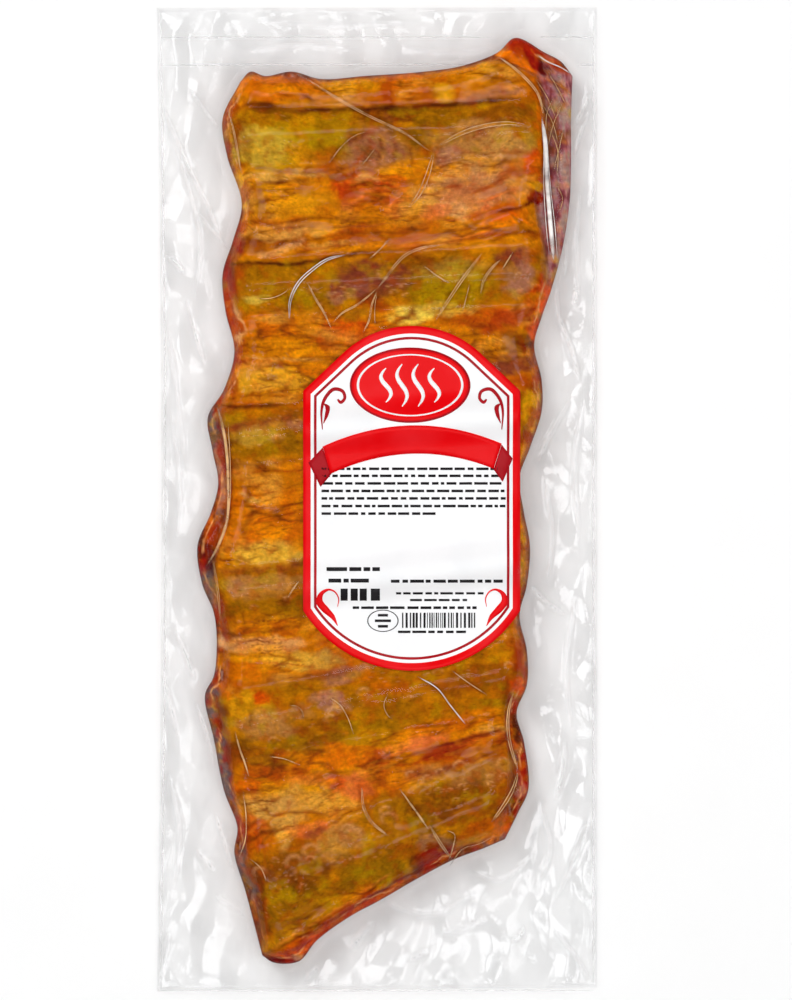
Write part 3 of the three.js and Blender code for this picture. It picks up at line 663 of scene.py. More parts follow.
# lines on the slab: x and y by turns in pixels of the photo, half width, colour, strength and relief (below 0
# cut in, above 0 raised)
creases = [
    # the dark steps along the bones' upper edges: painted shade in their grooves, and wider painted shadow on
    # the bone below some of them
    ((236, 112, 255, 106, 290, 112, 330, 112, 400, 110, 455, 106, 520, 101), 2.6, "bark", 0.9, -0.9),
    ((250, 107, 280, 112, 310, 114), 3.5, "umber", 0.6, -0.2),
    # a pale mauve band of painted sheen along the raised lip above the first step
    ((456, 103, 480, 99, 505, 95, 527, 92), 4, "mauve", 0.7, 0.5),
    ((227, 264, 270, 265, 312, 264, 346, 256, 380, 253, 402, 252), 1.8, "bark", 0.85, -0.8),
    ((402, 252, 440, 245, 472, 240, 500, 236, 532, 232), 1.8, "rust", 0.8, -0.7),
    ((380, 250, 430, 244, 470, 237, 520, 231), 2, "coral", 0.5, 0.4),
    ((218, 405, 240, 407, 270, 406, 310, 400), 2.2, "bark", 0.65, -0.6),
    ((224, 429, 250, 424, 275, 421, 304, 414), 4, "plum", 0.65, -0.2),
    ((226, 462, 250, 466, 275, 463, 302, 460), 3, "umber", 0.45, -0.2),
    ((217, 569, 250, 570, 280, 568, 306, 562), 4.5, "plum", 0.4, -0.3),
    ((214, 632, 240, 635, 265, 632, 300, 624), 2.4, "bark", 0.6, -0.5),
    ((262, 682, 300, 675, 335, 672, 362, 670), 4.5, "plum", 0.55, -0.3),
    ((396, 768, 430, 772, 470, 757, 506, 744), 3, "plum", 0.7, -0.5),
    ((246, 762, 290, 766, 330, 772, 360, 768), 2, "bark", 0.35, -0.3),
    # folds and wrinkles between the bones
    ((245, 172, 262, 170, 300, 176, 332, 172), 1.6, "umber", 0.5, -0.4),
    ((250, 188, 285, 185, 325, 184), 1.5, "umber", 0.5, -0.4),
    ((250, 208, 262, 194, 280, 192, 310, 190), 1.2, "umber", 0.45, -0.3),
    ((246, 222, 275, 226, 320, 220, 372, 224, 410, 216), 1.4, "umber", 0.5, -0.4),
    ((258, 232, 300, 229, 350, 228, 400, 225), 1.2, "plum", 0.45, -0.3),
    ((240, 240, 290, 243, 350, 236, 420, 234), 1.2, "umber", 0.4, -0.3),
    ((290, 256, 330, 248, 380, 243, 420, 240), 1.4, "rust", 0.5, -0.3),
    ((420, 179, 440, 178, 458, 179), 1.4, "rust", 0.7, -0.5),
    ((434, 196, 446, 190, 462, 188), 1.4, "rust", 0.6, -0.5),
    ((468, 196, 484, 190, 500, 183, 512, 178), 1.8, "rust", 0.6, -0.5),
    ((476, 204, 500, 196, 520, 190), 1.4, "coral", 0.6, 0.4),
    ((495, 213, 515, 211, 526, 206, 534, 198), 2, "wine", 0.85, -0.6),
    ((430, 238, 455, 232, 480, 230, 512, 233, 520, 230), 1.5, "wine", 0.6, -0.4),
    ((420, 218, 450, 222, 480, 217), 1.2, "coral", 0.5, -0.3),
    ((331, 165, 340, 152, 356, 140, 372, 133), 2, "plum", 0.8, -0.3),
    ((354, 168, 364, 158, 376, 146), 1.8, "rust", 0.7, -0.3),
    ((334, 158, 337, 166, 336, 174), 1.6, "plum", 0.6, -0.3),
    ((347, 163, 351, 172, 350, 180), 1.4, "mauve", 0.6, 0.3),
    ((371, 140, 367, 154, 369, 168), 1.5, "plum", 0.6, -0.3),
    ((380, 132, 381, 148, 378, 166), 1.6, "plum", 0.65, -0.3),
    ((375, 142, 374, 158, 376, 170), 1.4, "mauve", 0.6, 0.3),
    ((387, 140, 388, 154, 386, 168), 1.4, "mauve", 0.5, 0.3),
    ((392, 138, 394, 152, 393, 168), 1.5, "plum", 0.6, -0.3),
    ((400, 150, 402, 160, 400, 172), 1.5, "plum", 0.55, -0.25),
    ((408, 148, 411, 160, 409, 170), 1.4, "umber", 0.5, -0.25),
    ((385, 115, 390, 128, 388, 138), 2.4, "plum", 0.5, -0.2),
    ((356, 182, 368, 178, 380, 184), 2.4, "blush", 0.7, 0.35),
    ((344, 200, 356, 192, 366, 196), 1.6, "rust", 0.6, -0.3),
    ((352, 206, 362, 200, 372, 192, 380, 186), 2.6, "coral", 0.7, 0.35),
    ((386, 214, 392, 204, 402, 196), 2.6, "coral", 0.7, 0.35),
    ((376, 214, 384, 204, 390, 194), 1.5, "rust", 0.6, -0.3),
    ((247, 206, 240, 190, 252, 178, 290, 176, 322, 178), 2.2, "tan", 0.6, 0.4),
    ((252, 212, 248, 198, 256, 187, 280, 184, 318, 182), 1.6, "umber", 0.6, -0.4),
    ((236, 341, 265, 338, 300, 336, 330, 338), 1.1, "umber", 0.5, -0.35),
    ((238, 346, 270, 347, 305, 343, 340, 347), 1.1, "umber", 0.5, -0.35),
    ((236, 353, 265, 351, 300, 349, 330, 344), 1.1, "umber", 0.6, -0.4),
    ((236, 357, 262, 359, 300, 361, 326, 360), 1.6, "tan", 0.6, 0.35),
    ((262, 368, 290, 367, 318, 371), 1.1, "umber", 0.45, -0.3),
    ((268, 382, 282, 377, 306, 370), 1.1, "umber", 0.4, -0.3),
    ((233, 474, 262, 472, 302, 470), 1, "rust", 0.5, -0.3),
    ((232, 488, 250, 486, 275, 491, 302, 485), 1, "umber", 0.5, -0.35),
    ((236, 497, 262, 495, 302, 491), 1, "rust", 0.45, -0.3),
    ((230, 504, 262, 508, 302, 503), 1.1, "umber", 0.5, -0.35),
    ((250, 512, 275, 516, 303, 512), 1.1, "umber", 0.55, -0.4),
    ((256, 522, 280, 520, 300, 522), 1, "rust", 0.4, -0.25),
    ((220, 641, 260, 640, 305, 637), 1, "rust", 0.4, -0.25),
    ((222, 652, 262, 656, 300, 652), 1.2, "umber", 0.45, -0.3),
    ((228, 664, 270, 662, 320, 666), 1.2, "rust", 0.45, -0.3),
    ((236, 776, 262, 779, 300, 772, 345, 776), 1.3, "rust", 0.55, -0.35),
    ((240, 790, 275, 786, 300, 794), 1.2, "umber", 0.45, -0.3),
    ((268, 796, 270, 812, 300, 810, 330, 812), 1.2, "umber", 0.6, -0.35),
    ((322, 770, 320, 782, 326, 794), 1.2, "umber", 0.5, -0.3),
    ((357, 765, 370, 768, 388, 752, 405, 744), 1.8, "wine", 0.6, -0.5),
    ((388, 757, 410, 754, 436, 745, 460, 738, 505, 728), 1.5, "wine", 0.5, -0.5),
    ((385, 764, 415, 762, 440, 752, 480, 742), 1.5, "blood", 0.5, -0.4),
    ((398, 738, 420, 726, 470, 722, 505, 716), 1.5, "rust", 0.5, -0.3),
    ((260, 955, 290, 940, 350, 908, 400, 878, 440, 862, 480, 848), 1.6, "wine", 0.65, -0.4),
    ((284, 952, 320, 934, 370, 908, 402, 890), 1.4, "blood", 0.6, -0.4),
    ((268, 950, 300, 928, 350, 900, 392, 868), 1.6, "coral", 0.4, 0.3),
    ((257, 880, 258, 910, 262, 950), 1.3, "bark", 0.5, -0.3),
    ((246, 800, 262, 830, 266, 870, 268, 950), 1.3, "rust", 0.5, -0.2),
    ((242, 600, 246, 640), 1.6, "umber", 0.4, -0.2),
    ((222, 600, 224, 628, 232, 640), 1.6, "rust", 0.5, -0.2),
]
# blisters under the film: middle and radius in pixels of the photo
bubbles = [
    (444, 158, 3), (478, 141, 3), (499, 138, 2.5), (498, 161, 4), (521, 152, 3), (476, 172, 3),
    (296, 150, 3), (336, 296, 2.5), (341, 299, 2.2), (346, 296, 2.5), (350, 299, 2), (343, 290, 2.4),
    (349, 288, 2), (356, 292, 2), (313, 293, 4), (394, 294, 3), (404, 288, 3), (406, 297, 2.5),
    (398, 280, 2), (388, 290, 2.2), (518, 277, 3), (534, 288, 2.5), (520, 293, 3), (278, 440, 5),
    (299, 424, 4), (262, 446, 2.4), (237, 597, 3), (255, 607, 3), (248, 588, 2), (288, 598, 3),
    (325, 696, 6), (333, 699, 5), (336, 710, 6), (331, 718, 5), (274, 739, 4), (364, 691, 5), (371, 697, 3),
    (410, 697, 3), (417, 668, 4), (427, 674, 2.5), (438, 671, 4), (508, 665, 4), (295, 860, 8),
    (312, 849, 8), (311, 858, 5), (354, 833, 8), (348, 827, 5), (389, 817, 7), (386, 809, 5), (260, 870, 6),
    (304, 884, 3), (354, 856, 3), (334, 860, 2), (276, 858, 3), (410, 773, 4), (427, 777, 4), (440, 771, 4),
    (438, 788, 2.5), (444, 790, 2.5), (422, 783, 3), (449, 777, 4), (460, 765, 6), (461, 785, 3),
    (466, 789, 2.5), (456, 798, 2.5), (460, 805, 2), (489, 775, 3), (490, 782, 2.6), (493, 786, 2.4),
    (503, 774, 3), (502, 760, 4), (430, 792, 2.2), (416, 786, 2.4), (450, 788, 2), (300, 930, 4),
    (306, 936, 3),
]
# folds of the film drawn over the slab: x and y by turns in pixels of the photo, width of a strand and the
# gap between its two strands in mm, 0 where it has one, and how white it is, partly as a painted highlight
pleats = [
    ((300, 76, 338, 101, 370, 119, 405, 136, 426, 151, 432, 154), 0.22, 0.56, 0.6),
    ((437, 149, 461, 136, 487, 128, 511, 126, 531, 130), 0.24, 1.2, 0.6),
    ((434, 153, 427, 178, 419, 196, 408, 210), 0.24, 1.3, 0.54),
    ((329, 166, 341, 150, 354, 139, 367, 134), 0.24, 0, 0.48),
    ((361, 168, 368, 160, 376, 150), 0.2, 0, 0.36),
    ((347, 256, 328, 261, 312, 272, 299, 285, 291, 302, 290, 321), 0.27, 0.8, 0.9),
    ((290, 291, 280, 297, 269, 300, 260, 300), 0.24, 0, 0.72),
    ((308, 284, 316, 300, 324, 313, 332, 330), 0.24, 0.4, 0.6),
    ((333, 324, 343, 314, 356, 307, 368, 298, 377, 290), 0.24, 0.4, 0.6),
    ((377, 291, 387, 278, 396, 266, 405, 257, 420, 250, 445, 246), 0.24, 0.64, 0.6),
    ((377, 293, 372, 306, 369, 322, 363, 334), 0.24, 0.4, 0.6),
    ((377, 295, 375, 308, 375, 326), 0.2, 0, 0.6),
    ((482, 254, 464, 278, 449, 300, 435, 322), 0.24, 0.72, 0.6),
    ((500, 261, 491, 270, 483, 282, 480, 296), 0.24, 0.56, 0.48),
    ((469, 285, 466, 298, 462, 313), 0.24, 0, 0.48), ((423, 267, 436, 277, 449, 285), 0.39, 0, 0.54),
    ((512, 254, 507, 262, 501, 272), 0.39, 0, 0.42), ((390, 240, 381, 250, 369, 261), 0.3, 0, 0.6),
    ((300, 580, 294, 588, 288, 598), 0.2, 0.32, 0.48),
    ((290, 704, 298, 705, 303, 710, 304, 719), 0.2, 0, 0.6),
    ((328, 695, 340, 703, 348, 716, 354, 733), 0.3, 0, 0.6),
    ((388, 692, 384, 704, 388, 714, 393, 718), 0.24, 0, 0.6),
    ((417, 675, 437, 687, 450, 704, 466, 724), 0.3, 0, 0.9), ((451, 669, 466, 680, 487, 694), 0.3, 0, 0.48),
    ((236, 729, 241, 748, 246, 762, 250, 775), 0.24, 0.32, 0.6),
    ((270, 755, 284, 757, 302, 764), 0.3, 0, 0.42),
    ((362, 785, 364, 806, 372, 820, 388, 833), 0.3, 0.64, 0.72),
    ((399, 786, 409, 800, 418, 812, 429, 828), 0.3, 0.32, 0.48),
    ((429, 822, 437, 836, 446, 850, 452, 858), 0.35, 0.64, 0.48),
    ((446, 828, 454, 832, 452, 848, 449, 858), 0.39, 0, 0.42),
    ((449, 866, 462, 848, 480, 842, 494, 834), 0.3, 0, 0.42),
    ((518, 770, 513, 786, 504, 802, 491, 820), 0.3, 0.96, 0.6),
    ((513, 690, 508, 710, 508, 734, 512, 752, 518, 770), 0.3, 0.72, 0.72),
    ((217, 405, 222, 420, 227, 446, 229, 480, 228, 520, 218, 548, 207, 566), 1, 0, 0.5),
    ((229, 420, 231, 460, 231, 500, 227, 530), 0.2, 0, 0.84),
    ((214, 560, 219, 590, 221, 620), 0.2, 0.56, 0.42),
    ((228, 110, 234, 130, 238, 150, 242, 176), 0.2, 0.4, 0.42),
    ((497, 58, 504, 63, 520, 76, 537, 96, 543, 118), 0.3, 0.56, 0.54),
    ((537, 57, 548, 64, 560, 69, 570, 75), 0.35, 0, 0.95),
    ((541, 120, 545, 150, 546, 176, 549, 215, 553, 262), 1.5, 0, 0.9),
    ((541, 118, 543, 150, 543, 180, 545, 220, 549, 262), 0.2, 0, 0.95),
    ((547, 150, 550, 190, 554, 225, 557, 262), 0.2, 0, 0.95), ((534, 80, 546, 98, 556, 122), 0.2, 0, 0.6),
    ((546, 72, 558, 92, 566, 108), 0.2, 0, 0.54), ((553, 98, 546, 116, 545, 134), 0.2, 0, 0.72),
    ((540, 104, 551, 122, 558, 146), 0.2, 0, 0.6), ((562, 104, 552, 128, 547, 150), 0.2, 0, 0.6),
    ((549, 130, 557, 152, 556, 180), 0.2, 0, 0.6), ((563, 130, 556, 160, 552, 176), 0.2, 0, 0.48),
    ((556, 186, 562, 200, 558, 214), 0.2, 0, 0.6), ((244, 790, 247, 815, 246, 838, 239, 858), 0.39, 0, 0.6),
    ((250, 856, 262, 866, 268, 880), 0.24, 0, 0.48),
]
# folds along the bones: length and height in mm, noise seed and strength
folds = ((22, 5.5, 43, 1), (13, 2.6, 44, 0.6), (8, 1.4, 45, 0.45))
boneSpacing = 47
# where things fade in, in pixels of the photo: from the first number to the second
flapFade = {"x": (520, 534), "foot": (300, 270), "head": (66, 78)}
lowRimFade = {"x": (270, 280), "y": (838, 850)}
sideFade = (38, 47)  # and how far from the middle the long sides start, in mm


def acrossBones(plan):
    # a length that runs over the slab from bone to bone and is the same all along each bone: between two
    # bones it is the share of the way, times their usual spacing
    level = -plan.off[0]
    for k, (upper, lower) in enumerate(zip(plan.off[:-1], plan.off[1:])):
        share = np.clip(upper / np.minimum(upper - lower, -1), 0, 1)
        level = np.where(upper < 0, boneSpacing * (k + share), level)
    return np.where(plan.off[-1] < 0, boneSpacing * (len(plan.off) - 1) - plan.off[-1], level)


class Coat:
    # the colour and relief at the points of a plan. The ground goes from olive over the bones to amber
    # between them, and the functions below lay colours on it by turns.
    def __init__(self, plan):
        self.plan, self.x, self.y = plan, plan.x, plan.y
        self.px = photoMiddle[0] + plan.x / mmPerPixel
        self.py = photoMiddle[1] - plan.y / mmPerPixel
        self.fray = self.cloud(10, 11, 3, 0.5)
        self.drift = self.cloud(12, 23, 3, 0.5, 1.8)
        over = sum(smooth(1.05, 0.6, np.abs(off) / half + 0.12 * self.fray)
                   for off, (left, right, half, rise) in zip(plan.off, bones))
        self.over = np.clip(over, 0, 1)  # 1 on a bone, 0 between two
        self.level = acrossBones(plan) + 2.2 * self.cloud(17, 41, 3, 0.5)
        self.soft = (1 - self.over) * smooth(0.5, 3, plan.panel)  # the soft parts between the bones
        self.colour = {name: linear(*screen) for name, screen in smoke.items()}
        ground, bone = self.colour["amber"], self.colour["olive"] * 0.6 + self.colour["honey"] * 0.4
        self.paint = ground + (bone - ground) * self.over[..., None]
        self.relief = np.zeros(plan.x.shape)

    def cloud(self, size, seed, octaves=4, keep=0.55, longX=1, longY=1):  # noise, stretched along x or y
        return cloud(self.x / longX, self.y / longY, size, seed, octaves, keep)

    def lay(self, name, share, where=...):  # a colour, share from 0 to 1, only where is true if it is given
        self.paint[where] += (self.colour[name] - self.paint[where]) * np.clip(share, 0, 1)[..., None]


def layCutEdges(coat):
    # where the bone side stands back, the cut ends of the bones and the meat's edge show, and at the upper
    # right a streaky flap of meat
    outer = smooth(1.2, -1.2, coat.plan.panel)
    coat.flap = outer * smooth(*flapFade["x"], coat.px)
    coat.flap = coat.flap * smooth(*flapFade["foot"], coat.py) * smooth(*flapFade["head"], coat.py)
    cut = outer - coat.flap
    grainy = coat.cloud(3, 71, 3, 0.6, 1, 2.5)
    scratch = smooth(0.12, 0.0, np.abs(grain(coat.x / 1.4, coat.y / 9, 74)))
    coat.lay("rust", 0.6 * cut)
    coat.lay("plum", 0.6 * cut)
    coat.lay("bark", 0.8 * cut * smooth(-0.1, 0.4, grainy))
    coat.lay("grey", 0.7 * cut * smooth(0.0, 0.4, -grainy))
    coat.lay("ash", 0.7 * cut * scratch * smooth(-0.1, 0.3, coat.drift))
    streaky = coat.cloud(3, 77, 3, 0.6, 1, 3)
    coat.lay("flap", coat.flap)
    coat.lay("wine", 0.65 * coat.flap * smooth(0.05, 0.5, streaky))
    coat.lay("ash", 0.7 * coat.flap * smooth(0.0, 0.4, -streaky))


def layPatches(coat):  # turned ellipses with a soft edge, bent and torn by noise
    wx, wy = coat.px + 7 * coat.fray, coat.py + 5 * coat.cloud(10, 17, 3, 0.5)
    torn = 0.26 * coat.cloud(6, 19, 3, 0.6)
    for cx, cy, long, wide, name, strength, *more in patches:
        turn, swell = (*more, 0, 0)[:2]
        c, s = math.cos(math.radians(turn)), math.sin(math.radians(turn))
        near = np.hypot(wx - cx, wy - cy) < 1.7 * max(long, wide)
        dx, dy = wx[near] - cx, wy[near] - cy
        far = np.hypot((dx * c - dy * s) / long, (dx * s + dy * c) / wide)
        coat.lay(name, 1.2 * strength * smooth(1.28, 0.72, far + torn[near]), near)
        coat.relief[near] += swell * smooth(1.3, 0.55, far)


def layCreases(coat):  # lines with a bell-shaped section that narrows to both ends
    sx, sy = coat.px + 1.4 * coat.fray, coat.py + 1.4 * coat.cloud(7, 29, 3)
    uneven = 0.8 + 0.35 * cloud(coat.px, coat.py, 22, 31, 2)
    for points, half, name, strength, height in creases:
        off, share = strokeOff(curveThrough(pairs(points), 5), sx, sy, 4 * half)
        ends = np.sqrt(np.clip(np.minimum(share, 1 - share) * 8, 0, 1))
        line = np.exp(-((off / (half * (0.35 + 0.65 * ends))) ** 2)) * ends * uneven
        coat.lay(name, 1.3 * strength * line)
        coat.relief += height * line


def layPleatShadows(coat):  # painted shadow: a dark line on the meat along both sides of each fold of the film, which is also pressed in a little
    for points, width, gap, white in pleats:
        off, share = strokeOff(curveThrough(pairs(points), 4), coat.px, coat.py, 9)
        apart = (gap / 2 + width / 2 + 0.25) / mmPerPixel
        line = np.exp(-((np.abs(off) - apart) ** 2)) * np.clip(9 * share * (1 - share), 0, 1)
        coat.lay("bark", 0.42 * line)
        coat.relief -= 0.15 * line


def layFolds(coat):
    # folds run along the bones on the soft parts between them: rounded tops with sharp valleys, where noise
    # that is stretched along the bones crosses zero. The valleys get painted shade and the tops a painted
    # highlight.
    where = coat.soft * smooth(-0.45, 0.2, coat.cloud(16, 47, 2))
    pale = smooth(0.0, 0.5, coat.cloud(14, 49, 2, longX=2))
    for wide, tall, seed, keep in folds:
        ripple = np.abs(grain(coat.x / wide, coat.level / tall, seed))
        valley, litRidge = smooth(0.13, 0.0, ripple), smooth(0.15, 0.6, ripple)
        coat.lay("umber", 0.85 * keep * where * valley)
        coat.lay("glow", 0.35 * keep * where * litRidge)
        coat.lay("tan", 0.35 * keep * where * litRidge * pale)
        coat.relief += keep * where * (0.5 * np.sqrt(ripple) - 0.25)


def layBoneSkin(coat):  # the skin over the bones is smooth, with clouded stains and faint streaks across it
    stain = coat.cloud(8, 53, 4, 0.5)
    streak = smooth(0.09, 0.0, np.abs(grain((coat.x + 0.3 * coat.level) / 2.2, coat.level / 10, 59)))
    coat.lay("moss", 0.5 * smooth(0.15, 0.7, stain) * coat.over)
    coat.lay("lime", 0.45 * smooth(0.2, 0.7, -stain) * coat.over)
    coat.lay("umber", 0.4 * streak * coat.over * smooth(0.0, 0.4, coat.cloud(14, 61, 2)))


def layBubbles(coat):  # flat domes with a dark rim that is pale on the side of the light
    for cx, cy, radius in bubbles:
        near = np.hypot(coat.px - cx, coat.py - cy) < 2.5 * radius
        dx, dy = coat.px[near] - cx, coat.py[near] - cy
        far = np.hypot(dx, 1.15 * dy) / radius + 0.12 * coat.fray[near]
        dome = np.clip(1 - far**2, 0, 1)
        rim = np.exp(-(((far - 1) / 0.28) ** 2))
        lit = rim * smooth(-0.9, 0.9, -(dy + 0.3 * dx) / radius)
        coat.lay("umber", 0.4 * (rim - lit) + 0.15 * dome, near)
        coat.lay("blush", 0.6 * lit, near)
        coat.relief[near] += 0.1 * radius * np.sqrt(dome)


def layGrain(coat):  # fine mottling, pale specks on the bones, dark pits, and painted shade along the slab's edge
    mottle = coat.cloud(4, 51, 4, 0.6)
    speck = smooth(0.5, 0.75, grain(coat.x / 0.9, coat.y / 0.9, 59)) * coat.over
    pit = smooth(0.58, 0.8, grain(coat.x / 1.2, coat.y, 67))
    coat.lay("rust", 0.32 * smooth(0.15, 0.7, mottle))
    coat.lay("glow", 0.22 * smooth(0.15, 0.8, -mottle))
    coat.lay("blush", 0.45 * speck * smooth(0.0, 0.5, coat.cloud(18, 61, 2)))
    coat.lay("bark", 0.5 * pit * smooth(0.0, 0.5, coat.cloud(20, 69, 2)))
    # painted shade: darker in the last millimetre inside the slab's edge, where its side turns from the light
    coat.lay("bark", 0.35 * smooth(1.1, 0.1, coat.plan.depth + 0.5 * coat.fray) * (1 - coat.flap))


def laySides(coat):
    # down both long sides and along the low end the drawn film shows as pale threads, painted highlights,
    # over reddish meat
    depth = coat.plan.depth
    long = smooth(*sideFade, np.abs(coat.x)) * (1 - coat.flap)
    low = smooth(*lowRimFade["y"], coat.py) * smooth(*lowRimFade["x"], coat.px)
    side = smooth(6.5, 3, depth) * smooth(0, 0.6, depth) * (long + low)
    thread = np.abs(depth + 1.1 * coat.cloud(9, 63, 3, 0.6) - 2.1)
    coat.lay("blood", 0.6 * side * smooth(-0.1, 0.4, coat.cloud(5, 65, 3, 0.6, 1, 1.8)))
    coat.lay("blush", 0.75 * side * smooth(0.4, 0.05, thread) * smooth(-0.2, 0.3, coat.cloud(11, 66, 2)))


def paintSlab(plan):
    # colour and relief of the bone side: the ground, all coats, and a tone that paints the relief's shading
    # into the colour, raised parts lighter and sunk ones darker. The tones are spread by a power about the
    # middle.
    coat = Coat(plan)
    coat.lay("rust", 0.55 * smooth(0.05, 0.6, coat.drift))
    coat.lay("glow", 0.4 * smooth(0.1, 0.7, -coat.drift))
    for layMore in (layCutEdges, layPatches, layCreases, layPleatShadows, layFolds, layBoneSkin, layBubbles,
                    layGrain, laySides):
        layMore(coat)
    coat.relief += 0.16 * coat.cloud(5, 73, 3, 0.5)
    fibre = cloud(plan.x / 5, coat.level, 2.2, 37, 3, 0.6)
    # painted shading: raised relief lighter and sunk relief darker, over random grain
    tone = 1 + 0.12 * fibre * coat.soft + 0.14 * coat.cloud(3, 75, 3, 0.6) + 0.25 * coat.relief
    tone = tone * (1 + 0.45 * smooth(5, 0.5, plan.depth))  # painted lighter towards the steep edge, which gets less light
    paint = np.clip(coat.paint * np.clip(tone, 0.4, 1.9)[..., None] * smokeTint, 0, 1)
    middle = linear(*smokeDepth["middle"])
    return np.clip(middle * (paint / middle) ** smokeDepth["power"], 0, 1), coat.relief


print("paint ready")

meatFinish = {
    "fine": (900, 3, 0.6), "fleck": 520,  # noise scales, per metre
    "roughness": (0.42, 0.2), "specular": 0.01, "bump": (0.35, 0.0004),
}


def meatShader():
    # smoked meat: painted colour, grain and a fine tooth from noise in the slab's own place
    material, wire = newShader("smokedRib")
    fine = wire.noise(*meatFinish["fine"])
    place = wire.node("TexCoord", out="Object")
    fleck = wire.node("TexVoronoi", {}, {"Vector": place, "Scale": meatFinish["fleck"], "Randomness": 1})
    tone = 0.5 + fine
    shade = wire.node("CombineColor", {}, {0: tone, 1: tone, 2: tone})
    colour = wire.mixColour(1.0, wire.painted("smokePaint", "Color"), shade, "MULTIPLY")
    bump = wire.bump(fine * 0.6 + fleck.between(0.0, 0.6) * 0.4, *meatFinish["bump"])
    smoothest, spread = meatFinish["roughness"]
    surface = wire.body(colour, smoothest + spread * fine, meatFinish["specular"], Normal=bump)
    return finished(material, wire, surface)


clearFilm = {
    "through": 0.978, "grazing": 0.06,  # light let through, and the mirror added at a grazing angle
    "mirror": (250, 251, 253), "white": (254, 254, 255), "roughness": (0.08, 0.35),  # of mirror and white
    "ripple": (210, 4, 0.55), "bump": (0.22, 0.0006),
}


def filmShader(name, haze, gloss, whitening):
    # clear film: see-through, a thin mirror that strengthens towards grazing, and white where it is creased,
    # partly the creased film's own white and partly a painted highlight. haze is how white and gloss how
    # bright the mirror is when looked at squarely, each as a number or as the name of a number painted on the
    # points.
    material, wire = newShader(name)
    haze, gloss = (wire.painted(value, "Fac") if isinstance(value, str) else value for value in (haze, gloss))
    ripple = wire.noise(*clearFilm["ripple"])
    glossy, dull = clearFilm["roughness"]
    bump = wire.bump(ripple, *clearFilm["bump"])
    facing = wire.node("LayerWeight", {}, {"Blend": 0.5}, out="Facing")
    sheen = wire.body(rgba(clearFilm["mirror"]), glossy, 0.5, Metallic=1.0, Normal=bump)
    clear = wire.node("BsdfTransparent", {}, {"Color": (clearFilm["through"],) * 3 + (1,)})
    mirror = gloss + clearFilm["grazing"] * facing ** 5
    skin = wire.node("MixShader", {}, {0: mirror, 1: clear, 2: sheen})
    white = wire.body(rgba(whitening), dull, 0.2, Normal=bump)
    share = haze * (0.7 + 0.6 * ripple)
    return finished(material, wire, wire.node("MixShader", {}, {0: share, 1: skin, 2: white}))


paperFinish = {"cloud": (60, 3), "tooth": (1500, 2), "roughness": (0.38, 0.12), "bump": (0.08, 0.0002)}


def printShader(name, colour, patch):
    # printed paper: its colour, clouded a little towards patch as painted sheen and shade of the film's and
    # the paper's gloss
    material, wire = newShader(name)
    tooth = wire.noise(*paperFinish["tooth"])
    share = wire.noise(*paperFinish["cloud"]).between(0.42, 0.72) * 0.5
    mixed = wire.mixColour(share, rgba(colour), rgba(patch))
    bump = wire.bump(tooth, *paperFinish["bump"])
    smoothest, spread = paperFinish["roughness"]
    return finished(material, wire, wire.body(mixed, smoothest + spread * tooth, 0.1, Normal=bump))


def floorShader():
    material, wire = newShader("studioPaper")
    mixed = wire.mixColour(wire.noise(40, 2), rgba((250, 250, 250)), rgba((253, 253, 253)))
    return finished(material, wire, wire.body(mixed, 0.9, 0.0))


slabMesh = {
    "across": (130, 0.4), "along": (600, 0.12),  # cells each way, and how far they crowd to both ends
    "sink": 0.05, "dip": 0.25, "lift": 0.25,  # below the film at the edge, more further in, and underneath
    "tallest": 0.9, "lumps": 0.6,  # the highest relief on top, and the lumps underneath
}


def crowded(count, share):  # even steps from 0 to 1, partly drawn to both ends along a cosine
    t = np.linspace(0, 1, count + 1)
    return t + (0.5 - 0.5 * np.cos(np.pi * t) - t) * share


def coonsPlan(u, v):
    # a point u across and v along the slab: what the two side curves and the two end curves give, added,
    # less what their corners give
    left, right, top, bottom = (slabEdge(side, 0, 24) for side in ("left", "right", "top", "bottom"))
    u, v = u[None, :, None], v[:, None, None]
    sides = atShare(left, v[:, 0, 0])[:, None] * (1 - u) + atShare(right, v[:, 0, 0])[:, None] * u
    ends = atShare(top, u[0, :, 0])[None] * (1 - v) + atShare(bottom, u[0, :, 0])[None] * v
    corners = (top[0] * (1 - u) + top[-1] * u) * (1 - v) + (bottom[0] * (1 - u) + bottom[-1] * u) * v
    return (sides + ends - corners)[..., 0], (sides + ends - corners)[..., 1]


def underPaint(x, y):
    # the meat side, smoked darker: long fibres and dark hollows from stretched noise, and pale seams of fat
    # where noise crosses zero
    colour = {name: linear(*screen) for name, screen in smoke.items()}
    paint = np.broadcast_to(colour["rust"] * 0.6 + colour["umber"] * 0.4, (*x.shape, 3))
    bend = 0.5 * cloud(x, y, 18, 89, 3)
    seam = np.abs(grain(x / 34 + bend, y / 15 - bend, 88))
    for name, share in (
        ("honey", 0.8 * smooth(0.0, 0.6, cloud(x / 1.6, y, 20, 83, 4))),
        ("blood", 0.6 * smooth(0.1, 0.5, cloud(x / 1.8, y, 11, 85, 4, 0.6))),
        ("bark", 0.65 * smooth(0.0, 0.6, cloud(x / 4, y, 4, 81, 4, 0.65))),
        ("tan", 0.6 * smooth(0.09, 0.0, seam) * smooth(-0.2, 0.3, cloud(x, y, 12, 86, 2))),
    ):
        paint = paint + (colour[name] - paint) * share[..., None]
    return paint * (1 + 0.25 * cloud(x / 3, y, 3, 87, 3, 0.6))[..., None] * smokeTint


